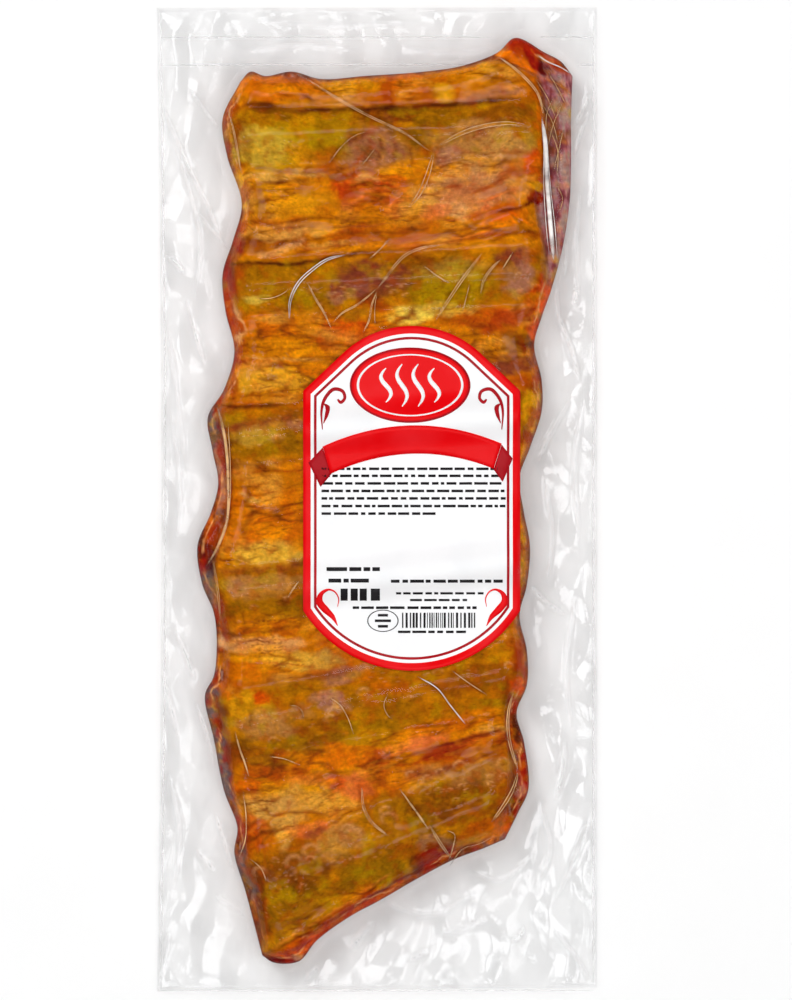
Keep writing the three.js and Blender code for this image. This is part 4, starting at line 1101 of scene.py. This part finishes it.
def makeSlab():
    # the bone side and, with half as many cells each way, the meat side, closed along their rim
    x, y = coonsPlan(crowded(*slabMesh["across"]), crowded(*slabMesh["along"]))
    plan = Plan(x, y)
    paint, relief = paintSlab(plan)
    fade = smooth(0.3, 3, plan.depth)
    z = plan.top() - slabMesh["sink"] + (np.minimum(relief, slabMesh["tallest"]) - slabMesh["dip"]) * fade
    ux, uy = x[everyOther], y[everyOther]
    under = Plan(ux, uy)
    lumps = slabMesh["lumps"] * cloud(ux / 1.5, uy, 12, 91, 4) * smooth(2, 7, under.depth)
    low = under.under() + np.maximum(lumps, 0) + slabMesh["lift"]
    points, faces = closedSheet(np.stack([x, y, withRim(z, slab["seam"])], -1), np.stack([ux, uy, low], -1))
    piece = makeObject("ribSlab", points, faces, [meatShader()])
    underside = underPaint(ux, uy)[inside].reshape(-1, 3)
    colour = np.clip(np.concatenate([paint.reshape(-1, 3), underside]), 0, 1)
    paintPoints(piece, "smokePaint", np.concatenate([colour, np.ones((len(colour), 1))], -1))
    dress(piece, "smoked_meat", "sealed_pouch")
    print("slab:", len(faces), "faces")


bag = {
    # shares of the width and how many cells each takes: fine over the margins, coarser over the slab
    "columns": ((0, 0.14, 40), (0.14, 0.8, 110), (0.8, 1, 54)), "rows": 372,
    "over": 0.26, "spread": 0.45, "drape": 0.85,  # off the meat, past its edge, and its share of the relief
    "gloss": (0.012, 0.07),  # the mirror over the slab and in the margins
}
# flat facets of the free film: how they run along x and y, where they start, height and tone
facets = ((19, 83, 0, 0.45, 0.24), (11.3, -47, 0.3, 0.324, 0.2), (23, 17, 0.1, 0.198, 0.14))
# long creases in the margins, drawn as the pack was handled: x and y by turns in pixels of the photo, half
# width in mm, height in mm and how white, which is partly a painted highlight
marginCreases = [
    ((160, 100, 175, 135, 190, 170, 208, 206, 222, 240), 1.2, 0.7, 0.5),
    ((162, 105, 184, 170, 200, 240, 195, 300), 1.1, 0.6, 0.4),
    ((190, 90, 206, 112, 220, 130), 0.9, 0.5, 0.4), ((195, 210, 214, 232, 228, 250), 0.8, 0.5, 0.5),
    ((165, 255, 176, 262, 185, 275), 1.6, 0.6, 0.6), ((187, 300, 196, 335, 205, 365), 1.2, 0.6, 0.5),
    ((168, 330, 178, 400, 186, 470), 1.4, 0.6, 0.3), ((172, 420, 180, 480, 176, 540), 1.2, 0.5, 0.3),
    ((590, 95, 584, 108, 575, 125), 1.2, 0.7, 0.6),
    ((592, 108, 578, 140, 570, 170, 566, 225, 565, 280), 1.1, 0.7, 0.6),
    ((580, 190, 576, 240, 580, 300), 1.2, 0.6, 0.4), ((560, 250, 556, 290, 560, 330), 1.1, 0.6, 0.5),
    ((575, 290, 576, 297, 574, 304), 1.8, 0.7, 0.7), ((555, 310, 568, 340, 580, 380), 1.3, 0.6, 0.5),
    ((570, 400, 552, 432, 535, 465), 1.3, 0.6, 0.5), ((583, 400, 574, 470, 580, 540), 1.4, 0.6, 0.35),
    ((545, 480, 552, 530, 548, 580), 1.2, 0.5, 0.35), ((530, 585, 546, 602, 565, 615), 1.5, 0.6, 0.5),
    ((575, 600, 566, 670, 572, 730), 1.4, 0.6, 0.35), ((565, 740, 562, 770, 555, 800), 1.7, 0.7, 0.55),
    ((590, 820, 575, 860, 555, 900), 1.6, 0.7, 0.5), ((540, 800, 550, 850, 540, 880), 1.3, 0.6, 0.4),
    ((555, 930, 574, 954, 590, 980), 1.3, 0.6, 0.4), ((175, 630, 186, 654, 195, 680), 1.5, 0.6, 0.5),
    ((162, 675, 172, 708, 180, 740), 1.5, 0.6, 0.5), ((195, 700, 210, 740, 222, 780), 1.2, 0.6, 0.55),
    ((215, 810, 224, 840, 235, 870), 1.1, 0.6, 0.5), ((197, 850, 206, 860, 215, 870), 1.5, 0.6, 0.5),
    ((168, 770, 180, 830, 174, 890), 1.3, 0.6, 0.35), ((170, 930, 165, 955, 160, 980), 1.3, 0.6, 0.4),
    ((215, 895, 230, 905, 245, 915), 1.2, 0.5, 0.4), ((350, 950, 362, 935, 375, 920), 2.2, 0.7, 0.5),
    ((410, 960, 420, 954, 430, 950), 1.8, 0.6, 0.5), ((305, 980, 312, 972, 320, 965), 1.5, 0.6, 0.5),
    ((440, 935, 465, 928, 490, 920), 1.6, 0.6, 0.35), ((510, 940, 520, 936, 524, 926), 1.2, 0.6, 0.6),
    ((380, 900, 430, 915, 480, 890), 1.4, 0.6, 0.35), ((470, 870, 500, 880, 530, 860), 1.4, 0.6, 0.35),
    ((250, 20, 330, 26, 420, 22), 1.4, 0.4, 0.3), ((240, 52, 300, 46, 360, 50), 1.3, 0.4, 0.3),
    ((400, 48, 450, 54, 490, 50), 1.2, 0.4, 0.3),
]


def filmHeight(plan):
    # over the slab the film is drawn down on it. Past it the two sheets lie together in flat facets, whose
    # slopes are triangle waves turned different ways and bent by noise. It gives the height, how white the
    # film is and a tone for its gloss.
    x, y = plan.x, plan.y
    away = np.maximum(-plan.depth, 0)
    ax, ay = x + 5 * cloud(x, y, 40, 101, 3), y + 9 * cloud(x, y / 2, 40, 103, 3)
    flat = 0.045 * cloud(x, y, 6, 107, 2)
    shade = 0.5 + 0.12 * cloud(x, y, 12, 105, 2)  # which way each facet leans, as a tone
    for alongX, alongY, start, tall, tone in facets:
        phase = ax / alongX + ay / alongY + start
        flat = flat + tall * wedge(phase)
        shade = shade + tone * np.clip(6 * wedge(phase + 0.25), -1, 1)
    rimOff = np.minimum(pouch["width"] / 2 - np.abs(x), pouch["length"] / 2 - np.abs(y))
    calm = smooth(0, 9, away) * smooth(0, 5, rimOff)
    free = smooth(0, 2, away)
    haze = 0.03 * smooth(0.2, 0.8, cloud(x / 1.3, y / 2.6, 6, 109, 3)) * free
    crease = np.zeros(x.shape)
    for points, half, tall, white in marginCreases:
        off, share = strokeOff(curveThrough(fromPhoto(pairs(points)), 6), x, y, 2 * half)
        ends = np.sqrt(np.clip(np.minimum(share, 1 - share) * 5, 0, 1))
        fold = np.clip(1 - np.abs(off) / half / np.maximum(ends, 0.05), 0, 1) * ends
        crease = np.maximum(crease, tall * fold)
        haze = np.maximum(haze, 0.55 * white * fold)
    drawn = smooth(9, 2, plan.depth) * smooth(-7, -1, plan.depth)  # small pleats where it turns the edge
    pucker = 0.16 * drawn * cloud(x, y, 4.5, 111, 3, 0.7)
    height = flat * calm + crease * smooth(0, 3, away) + pucker
    return height, haze * free, np.clip(shade, 0.1, 1)


def draped(relief):
    # what film drawn over a relief does: each point takes the highest of its neighbours and itself, and then
    # the mean of the same nine
    for gather in (np.max, np.mean):
        wide = np.pad(relief, 1, mode="edge")
        rows, columns = relief.shape
        relief = gather([wide[i:i + rows, k:k + columns] for i in range(3) for k in range(3)], axis=0)
    return relief


def makeBag():
    # the closed bag: the front over the slab and the label, the back with half as many cells each way
    parts = [np.linspace(a, b, cells, endpoint=False) for a, b, cells in bag["columns"]]
    u = np.concatenate([*parts, [1]])[None]
    v = np.linspace(0, 1, bag["rows"] + 1)[:, None]
    left = -pouch["width"] / 2 + pouch["waist"] * np.sin(np.pi * v)
    x = left + (pouch["width"] / 2 - left) * u
    y = pouch["length"] * (0.5 - v) + pouch["skew"] * u * v
    plan = Plan(x, y, bag["spread"])
    fold, haze, facet = filmHeight(plan)
    paint, relief = paintSlab(plan)
    tight = smooth(0.3, 3, plan.depth) * smooth(1, -1, plan.cover)
    drape = draped(np.clip(relief, -1, slabMesh["tallest"])) * bag["drape"] - 0.1
    top = withRim(plan.held() + bag["over"] + fold + drape * tight, plan.margin())
    bx, by = x[everyOther], y[everyOther]
    low = Plan(bx, by, bag["spread"]).under() - bag["over"] + fold[everyOther] * 0.9
    low = np.maximum(low, 0.02)
    points, faces = closedSheet(np.stack([x, y, top], -1), np.stack([bx, by, low], -1))
    film = filmShader("clearFilm", "creaseHaze", "filmGloss", clearFilm["white"])
    piece = makeObject("pouchFilm", points, faces, [film])
    dim, bright = bag["gloss"]
    gloss = dim + (bright - dim) * smooth(-0.5, -4, plan.depth) * facet
    for name, values, share in (("creaseHaze", haze, 0.3), ("filmGloss", gloss, 1)):
        back = (values[everyOther] * share)[inside]
        paintPoints(piece, name, np.concatenate([values.ravel(), back.ravel()]))
    dress(piece, "clear_film", "sealed_pouch")
    print("bag:", len(faces), "faces")


def tubeAlong(path, width, lift, sides):
    # a low rounded ridge along a path of x, y: each cross section is an ellipse that stands on the film and
    # narrows towards both ends
    plan = Plan(path[:, 0], path[:, 1], bag["spread"])
    base = plan.held() + bag["over"]
    size = np.sqrt(np.maximum(fromEnds(len(path), 7), 0.02)) * width / 2
    angle = np.linspace(0, 2 * np.pi, sides, endpoint=False)[None]
    spot = path[:, None] + sideways(path)[:, None] * (size[:, None] * np.cos(angle))[..., None]
    z = base[:, None] + lift * size[:, None] * (0.25 + np.sin(angle))
    return closedRings(np.concatenate([spot, z[..., None]], -1))


strand = {
    # the strands' white is partly a painted highlight: over the meat it takes the meat's warm light, the
    # whitest ones stay white
    "tints": {"filmPleats": (255, 208, 146), "filmFolds": (255, 250, 246)}, "whitest": 0.9,
    "sides": 8, "lift": 0.7, "gloss": 0.06,
}


def makePleats(name):
    # two strands along a fold, which meet at its ends, or one. Each fades to its ends and is unevenly white.
    bodies, haze = [], []
    for points, width, gap, white in pleats:
        if (white >= strand["whitest"]) != (name == "filmFolds"):
            continue
        path = fromPhoto(pairs(points))
        path = atShare(curveThrough(path, 8), np.linspace(0, 1, 8 + 8 * len(path)))
        bow = np.sin(np.pi * np.linspace(0, 1, len(path)))[:, None] ** 0.6
        for side in (-0.5, 0.5) if gap else (0,):
            lane = path + sideways(path) * bow * gap * side
            bodies.append(tubeAlong(lane, width, strand["lift"], strand["sides"]))
            uneven = 0.75 + 0.6 * cloud(lane[:, 0], lane[:, 1], 7, 121, 3, 0.6)
            whiteness = 1.15 * white * fromEnds(len(path), 4) ** 0.7 * np.clip(uneven, 0.25, 1.2)
            haze.append(np.repeat(whiteness, strand["sides"]))
    points, faces = joined(bodies)
    film = filmShader(name, "pleatHaze", strand["gloss"], strand["tints"][name])
    piece = makeObject(name, points, faces, [film])
    paintPoints(piece, "pleatHaze", np.concatenate(haze))
    dress(piece, "clear_film")
    print(name + ":", len(bodies), "strands")


seals = {
    # each row: y, and x of its ends, in pixels of the photo
    "rows": ((38, 158, 492), (38, 540, 595), (65.5, 158, 470), (65.5, 578, 595), (990, 159, 595)),
    "inset": 1.3, "endInset": 3, "width": 0.5, "height": 0.25, "sides": 6, "haze": 0.25, "gloss": 0.05,
}


def makeSeals():
    # the welded lines of the bag, as low ridges on its flat margins
    wide, tall = pouch["width"] / 2 - seals["inset"], pouch["length"] / 2 - seals["endInset"]
    paths = []
    for row, start, end in seals["rows"]:
        (x0, line), (x1, line) = fromPhoto([(start, row), (end, row)])
        x = np.linspace(max(x0, -wide), min(x1, wide), 90)
        paths.append(np.stack([x, x * 0 + line], -1))
    y = np.linspace(-tall, tall, 180)
    waist = pouch["waist"] * np.cos(np.pi * y / pouch["length"])
    paths += [np.stack([waist - wide, y], -1), np.stack([y * 0 + wide, y], -1)]
    tubes = []
    for path in paths:
        fold, haze, facet = filmHeight(Plan(path[:, 0], path[:, 1], bag["spread"]))
        points, faces = tubeAlong(path, seals["width"], seals["height"], seals["sides"])
        points[:, 2] += np.repeat(fold, seals["sides"])
        tubes.append((points, faces))
    points, faces = joined(tubes)
    film = filmShader("weldedFilm", seals["haze"], seals["gloss"], clearFilm["white"])
    piece = makeObject("sealLines", points, faces, [film])
    dress(piece, "clear_film")
    print("seals:", len(tubes))


def paperHeight(x, y):
    # the paper lies on the held film, with slight crinkles of its own
    plan = Plan(x, y)
    crinkle = label["crinkle"] * cloud(x, y, 19, 113, 2) * smooth(0, 6, plan.cover)
    return plan.held() + label["lift"] + crinkle


inks = {
    "labelRed": printShader("redInk", (232, 4, 12), (240, 44, 50)),
    "labelWhite": printShader("whitePaper", (250, 250, 251), (240, 241, 243)),
    "labelDarkRed": printShader("darkRedInk", (168, 14, 26), (190, 44, 52)),
    "labelInk": printShader("blackInk", (30, 28, 30), (60, 58, 60)),
}


def makeLabel():
    # rings from the outline to the middle: the bands first, then the white field in even steps that grow
    # round
    red, white, dark = label["bands"]
    rings = [labelOutline(label["cell"], depth) for depth in (0, red / 2, red, white, dark)]
    field = rings[-1]
    angle = np.arctan2(field[:, 1], field[:, 0])
    oval = np.stack([np.cos(angle), np.sin(angle)], -1) * label["oval"]
    for share in np.linspace(1, 0.02, label["rings"])[1:]:
        rounding = smooth(1, 0.6, share)
        rings.append((field * (1 - rounding) + oval * rounding) * share)
    plan = np.stack(rings) + label["centre"]
    z = paperHeight(plan[..., 0], plan[..., 1])
    top = np.concatenate([plan, z[..., None] + label["thickness"]], -1)
    low = np.concatenate([plan, z[..., None]], -1)
    points, faces = closedRings(np.concatenate([low[::-1], top]))
    band = np.arange(len(faces)) // len(field) - len(low)  # faces between the top's rings: 0, 1 are red
    slots = np.where(np.isin(band, (-1, 0, 1)), 0, np.where(band == 3, 2, 1))
    slots[-2:] = 1  # the flat faces that close it are white
    dress(makeObject("paperLabel", points, faces, list(inks.values())[:3], slots), "label_paper", "label")
    print("label:", len(faces), "faces")


def inkSheet(x, y, layer=0):
    # a printed field: a thin closed sheet over a grid of x, y, a hair above the paper
    z = paperHeight(x, y) + label["thickness"] + label["inkStep"] * (1 + layer)
    top = np.stack([x, y, z], -1)
    front = np.arange(x.size).reshape(x.shape)
    points = np.concatenate([top.reshape(-1, 3), (top - (0, 0, label["inkStep"])).reshape(-1, 3)])
    upper = gridFaces(front, points, True)
    lower = gridFaces(front + x.size, points, False)
    loop = rimLoop(front)
    wall = np.stack([loop, np.roll(loop, -1), np.roll(loop, -1) + x.size, loop + x.size], -1)
    first = upper[0].tolist()
    along = first[(first.index(int(loop[0])) + 1) % 4] == int(loop[1])
    return points, np.concatenate([upper, lower, wall[:, ::-1] if along else wall]).tolist()


def inkStroke(points, width, taper=0.0, layer=0, steps=6):
    # a pen stroke along a curve through pixels of the photo. Its width in mm is given along it, or is one
    # number that shrinks to the ends by taper.
    path = curveThrough(fromPhoto(points), steps)
    share = np.linspace(0, 1, len(path))
    if np.ndim(width):
        half = np.interp(share, np.linspace(0, 1, len(width)), width) / 2
    else:
        half = width / 2 * (1 - taper * (2 * share - 1) ** 2)
    side = np.linspace(-1, 1, 3)[None, :, None]
    grid = path[:, None] + sideways(path)[:, None] * half[:, None, None] * side
    return inkSheet(grid[..., 0], grid[..., 1], layer)


def inkBlock(left, top, right, bottom, layer=0, cell=1.5):
    # a straight block between two corners, in pixels of the photo
    (x0, y0), (x1, y1) = fromPhoto([(left, top), (right, bottom)])
    columns, rows = 2 + int((x1 - x0) / cell), 2 + int((y0 - y1) / cell)
    x, y = np.meshgrid(np.linspace(x0, x1, columns), np.linspace(y0, y1, rows))
    return inkSheet(x, y, layer)


def inkPatch(upper, lower, layer=0):  # straight lines between two edges of points in millimetres
    side = np.linspace(0, 1, 7)[:, None, None]
    patch = upper[None] * (1 - side) + lower[None] * side
    return inkSheet(patch[..., 0], patch[..., 1], layer)


def inkDisc(cx, cy, rx, ry, inner=0.0, layer=0):
    # an ellipse, or a ring where inner is above 0: rings of points that go out underneath and come back in on
    # top. A ring's last row lies on its first, a disc ends in a small flat face on each side.
    (mx, my), = fromPhoto([(cx, cy)])
    out = np.linspace(max(inner, 0.02), 1, 3 if inner else 18)
    share = np.concatenate([out, out[::-1]])[:, None]
    angle = np.linspace(0, 2 * np.pi, 96, endpoint=False)[None, :]
    x = mx + rx * mmPerPixel * share * np.cos(angle)
    y = my + ry * mmPerPixel * share * np.sin(angle)
    z = paperHeight(x, y) + label["thickness"] + label["inkStep"] * layer
    z[len(out):] += label["inkStep"]
    return closedRings(np.stack([x, y, z], -1), inner > 0)


# the label's print, all places in pixels of the photo
plaque = {
    "middle": (410, 386), "rim": (60, 37.5), "field": (58, 35.5), "ring": (53, 31), "ringShare": 0.955,
    "smoke": ((-24, 34), (-8, 42), (8, 42), (24, 34)),  # each wave: off the middle, and length
    "sway": 5, "stroke": 1.5,
}
ribbon = {
    # each edge: its left end, how far it runs right and up, and how high it is bowed
    "top": (323, 447, 178, 3, 19.5), "foot": (331, 474, 162, 5, 17.5),
    "tails": (
        ((323, 448), (309, 463), (332, 474), (321, 487)),
        ((501, 445), (512, 459), (493, 470), (502, 482)),
    ),
}
# strokes that stand on both sides of the label: points, and widths in mm along them
scrolls = {
    "axis": 412,
    "labelDarkRed": (
        ([(323, 430), (322, 412), (325, 400), (334, 390), (343, 392), (345, 399), (341, 403), (338, 400)],
         (0.3, 0.8, 1.1, 1.2, 1.1, 1.0, 1.1, 0.6)),
        ([(324, 404), (328, 408), (327, 416), (324, 424)], (0.2, 1.6, 1.2, 0.2)),
    ),
    "labelRed": (
        ([(338, 606), (339, 598), (335, 591), (329, 589), (322, 593), (320, 601), (326, 609), (333, 616),
          (338, 625)], (0.2, 0.4, 0.5, 0.7, 1.4, 2.4, 2.4, 1.6, 0.2)),
    ),
}
smallPrint = {
    # each row of marks: y, its ends, half height and mean length. The first six are alike.
    "alike": (469, 476, 483.5, 491, 498.4, 506), "row": (322, 505, 1.25, 4.2),
    "rows": ((513.5, 322, 440, 1.25, 4.2), (568.6, 327, 380, 1.9, 7), (580, 329, 372, 1.9, 6),
             (580.6, 391, 502, 1.5, 5), (592.7, 396, 486, 1.1, 4), (599.4, 410, 472, 1.1, 4),
             (607, 353, 480, 1.3, 4.5), (631, 398, 470, 1.2, 4.5)),
    "tall": (588, 600), "tallMarks": ((341, 7), (351, 7), (360, 7), (371, 9)),  # ends in y, x and width
    "oval": (383, 620, 15.6, 11, 0.93), "ovalMarks": ((614.5, 5), (620, 8), (625.5, 5)), "ovalTall": 1.3,
    "bars": (402.0, 474, 612, 627), "barWidths": (0.8, 1.3, 2.1), "barGaps": (0.9, 1.4, 2.2),
}


def drawPlaque(marks):  # an oval with a white ring and four rising waves of smoke
    cx, cy = plaque["middle"]
    marks["labelDarkRed"].append(inkDisc(cx, cy, *plaque["rim"]))
    marks["labelRed"].append(inkDisc(cx, cy, *plaque["field"], layer=1))
    marks["labelWhite"].append(inkDisc(cx, cy, *plaque["ring"], plaque["ringShare"], layer=2))
    for shift, length in plaque["smoke"]:
        wave = [(cx + shift + plaque["sway"] * math.sin(6.3 * s), cy + length * (0.5 - s))
                for s in np.linspace(0, 1, 9)]
        marks["labelWhite"].append(inkStroke(wave, plaque["stroke"], 0.8, 2))


def drawRibbon(marks):  # arched between two bowed edges, with a folded tail at each end
    t = np.linspace(0, 1, 45)
    edge = [fromPhoto(np.stack([left + right * t, y - up * t - bow * 4 * t * (1 - t)], -1))
            for left, y, right, up, bow in (ribbon["top"], ribbon["foot"])]
    marks["labelRed"].append(inkPatch(*edge, 1))
    t = np.linspace(0, 1, 7)[:, None]
    for tail in ribbon["tails"]:
        a, b, c, d = fromPhoto(tail)
        marks["labelDarkRed"].append(inkPatch(a * (1 - t) + b * t, c * (1 - t) + d * t))


def drawScrolls(marks):
    for ink in ("labelDarkRed", "labelRed"):
        for points, width in scrolls[ink]:
            other = [(2 * scrolls["axis"] - x, y) for x, y in points]
            marks[ink] += [inkStroke(points, width), inkStroke(other, width)]


def drawSmallPrint(ink):
    # rows of marks as long as words, four tall marks, an oval, and upright bars of uneven width
    draw = np.random.default_rng(5)
    rows = [(y, *smallPrint["row"]) for y in smallPrint["alike"]]
    for y, x, end, tall, word in (*rows, *smallPrint["rows"]):
        while x < end - 3:
            long = min(word * draw.uniform(0.8, 3.2), end - x)
            ink.append(inkBlock(x, y - tall, x + long, y + tall))
            x += long + draw.uniform(1.8, 3)
    top, foot = smallPrint["tall"]
    ink += [inkBlock(x, top, x + wide, foot) for x, wide in smallPrint["tallMarks"]]
    ink.append(inkDisc(*smallPrint["oval"]))
    x, tall = smallPrint["oval"][0], smallPrint["ovalTall"]
    ink += [inkBlock(x - wide, y - tall, x + wide, y + tall) for y, wide in smallPrint["ovalMarks"]]
    x, end, top, foot = smallPrint["bars"]
    while x < end:
        wide = draw.choice(smallPrint["barWidths"])
        ink.append(inkBlock(x, top, x + wide, foot))
        x += wide + draw.choice(smallPrint["barGaps"])


def makePrint():
    marks = {name: [] for name in inks}
    drawPlaque(marks)
    drawRibbon(marks)
    drawScrolls(marks)
    drawSmallPrint(marks["labelInk"])
    for name, bodies in marks.items():
        points, faces = joined(bodies)
        dress(makeObject(name, points, faces, [inks[name]]), "label_paper")
    print("print:", sum(map(len, marks.values())), "marks")


makeSlab()
makeBag()
for name in strand["tints"]:
    makePleats(name)
makeSeals()
makeLabel()
makePrint()


studio = {
    "distance": 3.2, "sensor": 36, "world": 0.06,
    "floor": 6, "floorZ": -0.6,  # its side in m, and how far it lies below the pack in mm
    "key": {"place": (-0.8, 0.9, 1.7), "size": 1.0, "power": 18.5},
    "fill": {"place": (0.3, -0.3, 2.0), "size": 2.2, "power": 35.5},
    "glints": {"count": 5, "radius": 0.6, "height": 1.7, "size": 0.5, "power": 1.7},
}


def aimed(name, place, size, power, glossy, diffuse):  # a round lamp that faces the pack
    light = bpy.data.lights.new(name, "AREA")
    light.shape, light.size, light.energy = "DISK", size, power
    lamp = bpy.data.objects.new(name, light)
    lamp.location = place
    direction = np.array(place) / -np.linalg.norm(place)
    yaw = math.atan2(direction[1], direction[0])
    lamp.rotation_euler = (math.acos(np.clip(-direction[2], -1, 1)), 0, yaw - math.pi / 2)
    lamp.visible_glossy, lamp.visible_diffuse = glossy, diffuse
    bpy.context.scene.collection.objects.link(lamp)


def makeStudio():
    # a pale floor, two soft lamps for the colours, a ring of small ones for the film's glints, and a camera
    # straight above whose picture is the photo's
    scene = bpy.context.scene
    side = studio["floor"] / mm / 2
    corners = [(x * side, y * side, studio["floorZ"]) for x, y in ((-1, -1), (1, -1), (1, 1), (-1, 1))]
    makeObject("floor", corners, [[0, 1, 2, 3]], [floorShader()])
    for name in ("key", "fill"):
        lamp = studio[name]
        aimed(name + "Light", lamp["place"], lamp["size"], lamp["power"], False, True)
    ring = studio["glints"]
    for k in range(ring["count"]):
        a = 2 * math.pi * (k + 0.25) / ring["count"]
        place = (ring["radius"] * math.cos(a), ring["radius"] * math.sin(a), ring["height"])
        aimed(f"glintLight{k + 1}", place, ring["size"], ring["power"], True, False)
    scene.world = bpy.data.worlds.new("studioAir")
    scene.world.use_nodes = True
    air = scene.world.node_tree.nodes["Background"].inputs
    air["Color"].default_value, air["Strength"].default_value = (1, 1, 1, 1), studio["world"]
    camera = bpy.data.cameras.new("camera")
    camera.sensor_width = studio["sensor"]
    camera.lens = studio["sensor"] * studio["distance"] / (photoSize[1] * mmPerPixel * mm)
    camera.clip_end = 20
    eye = bpy.data.objects.new("camera", camera)
    eye.location = (*fromPhoto(np.array(photoSize) / 2) * mm, studio["distance"])
    scene.collection.objects.link(eye)
    scene.camera = eye
    scene.view_settings.view_transform = "Standard"


makeStudio()
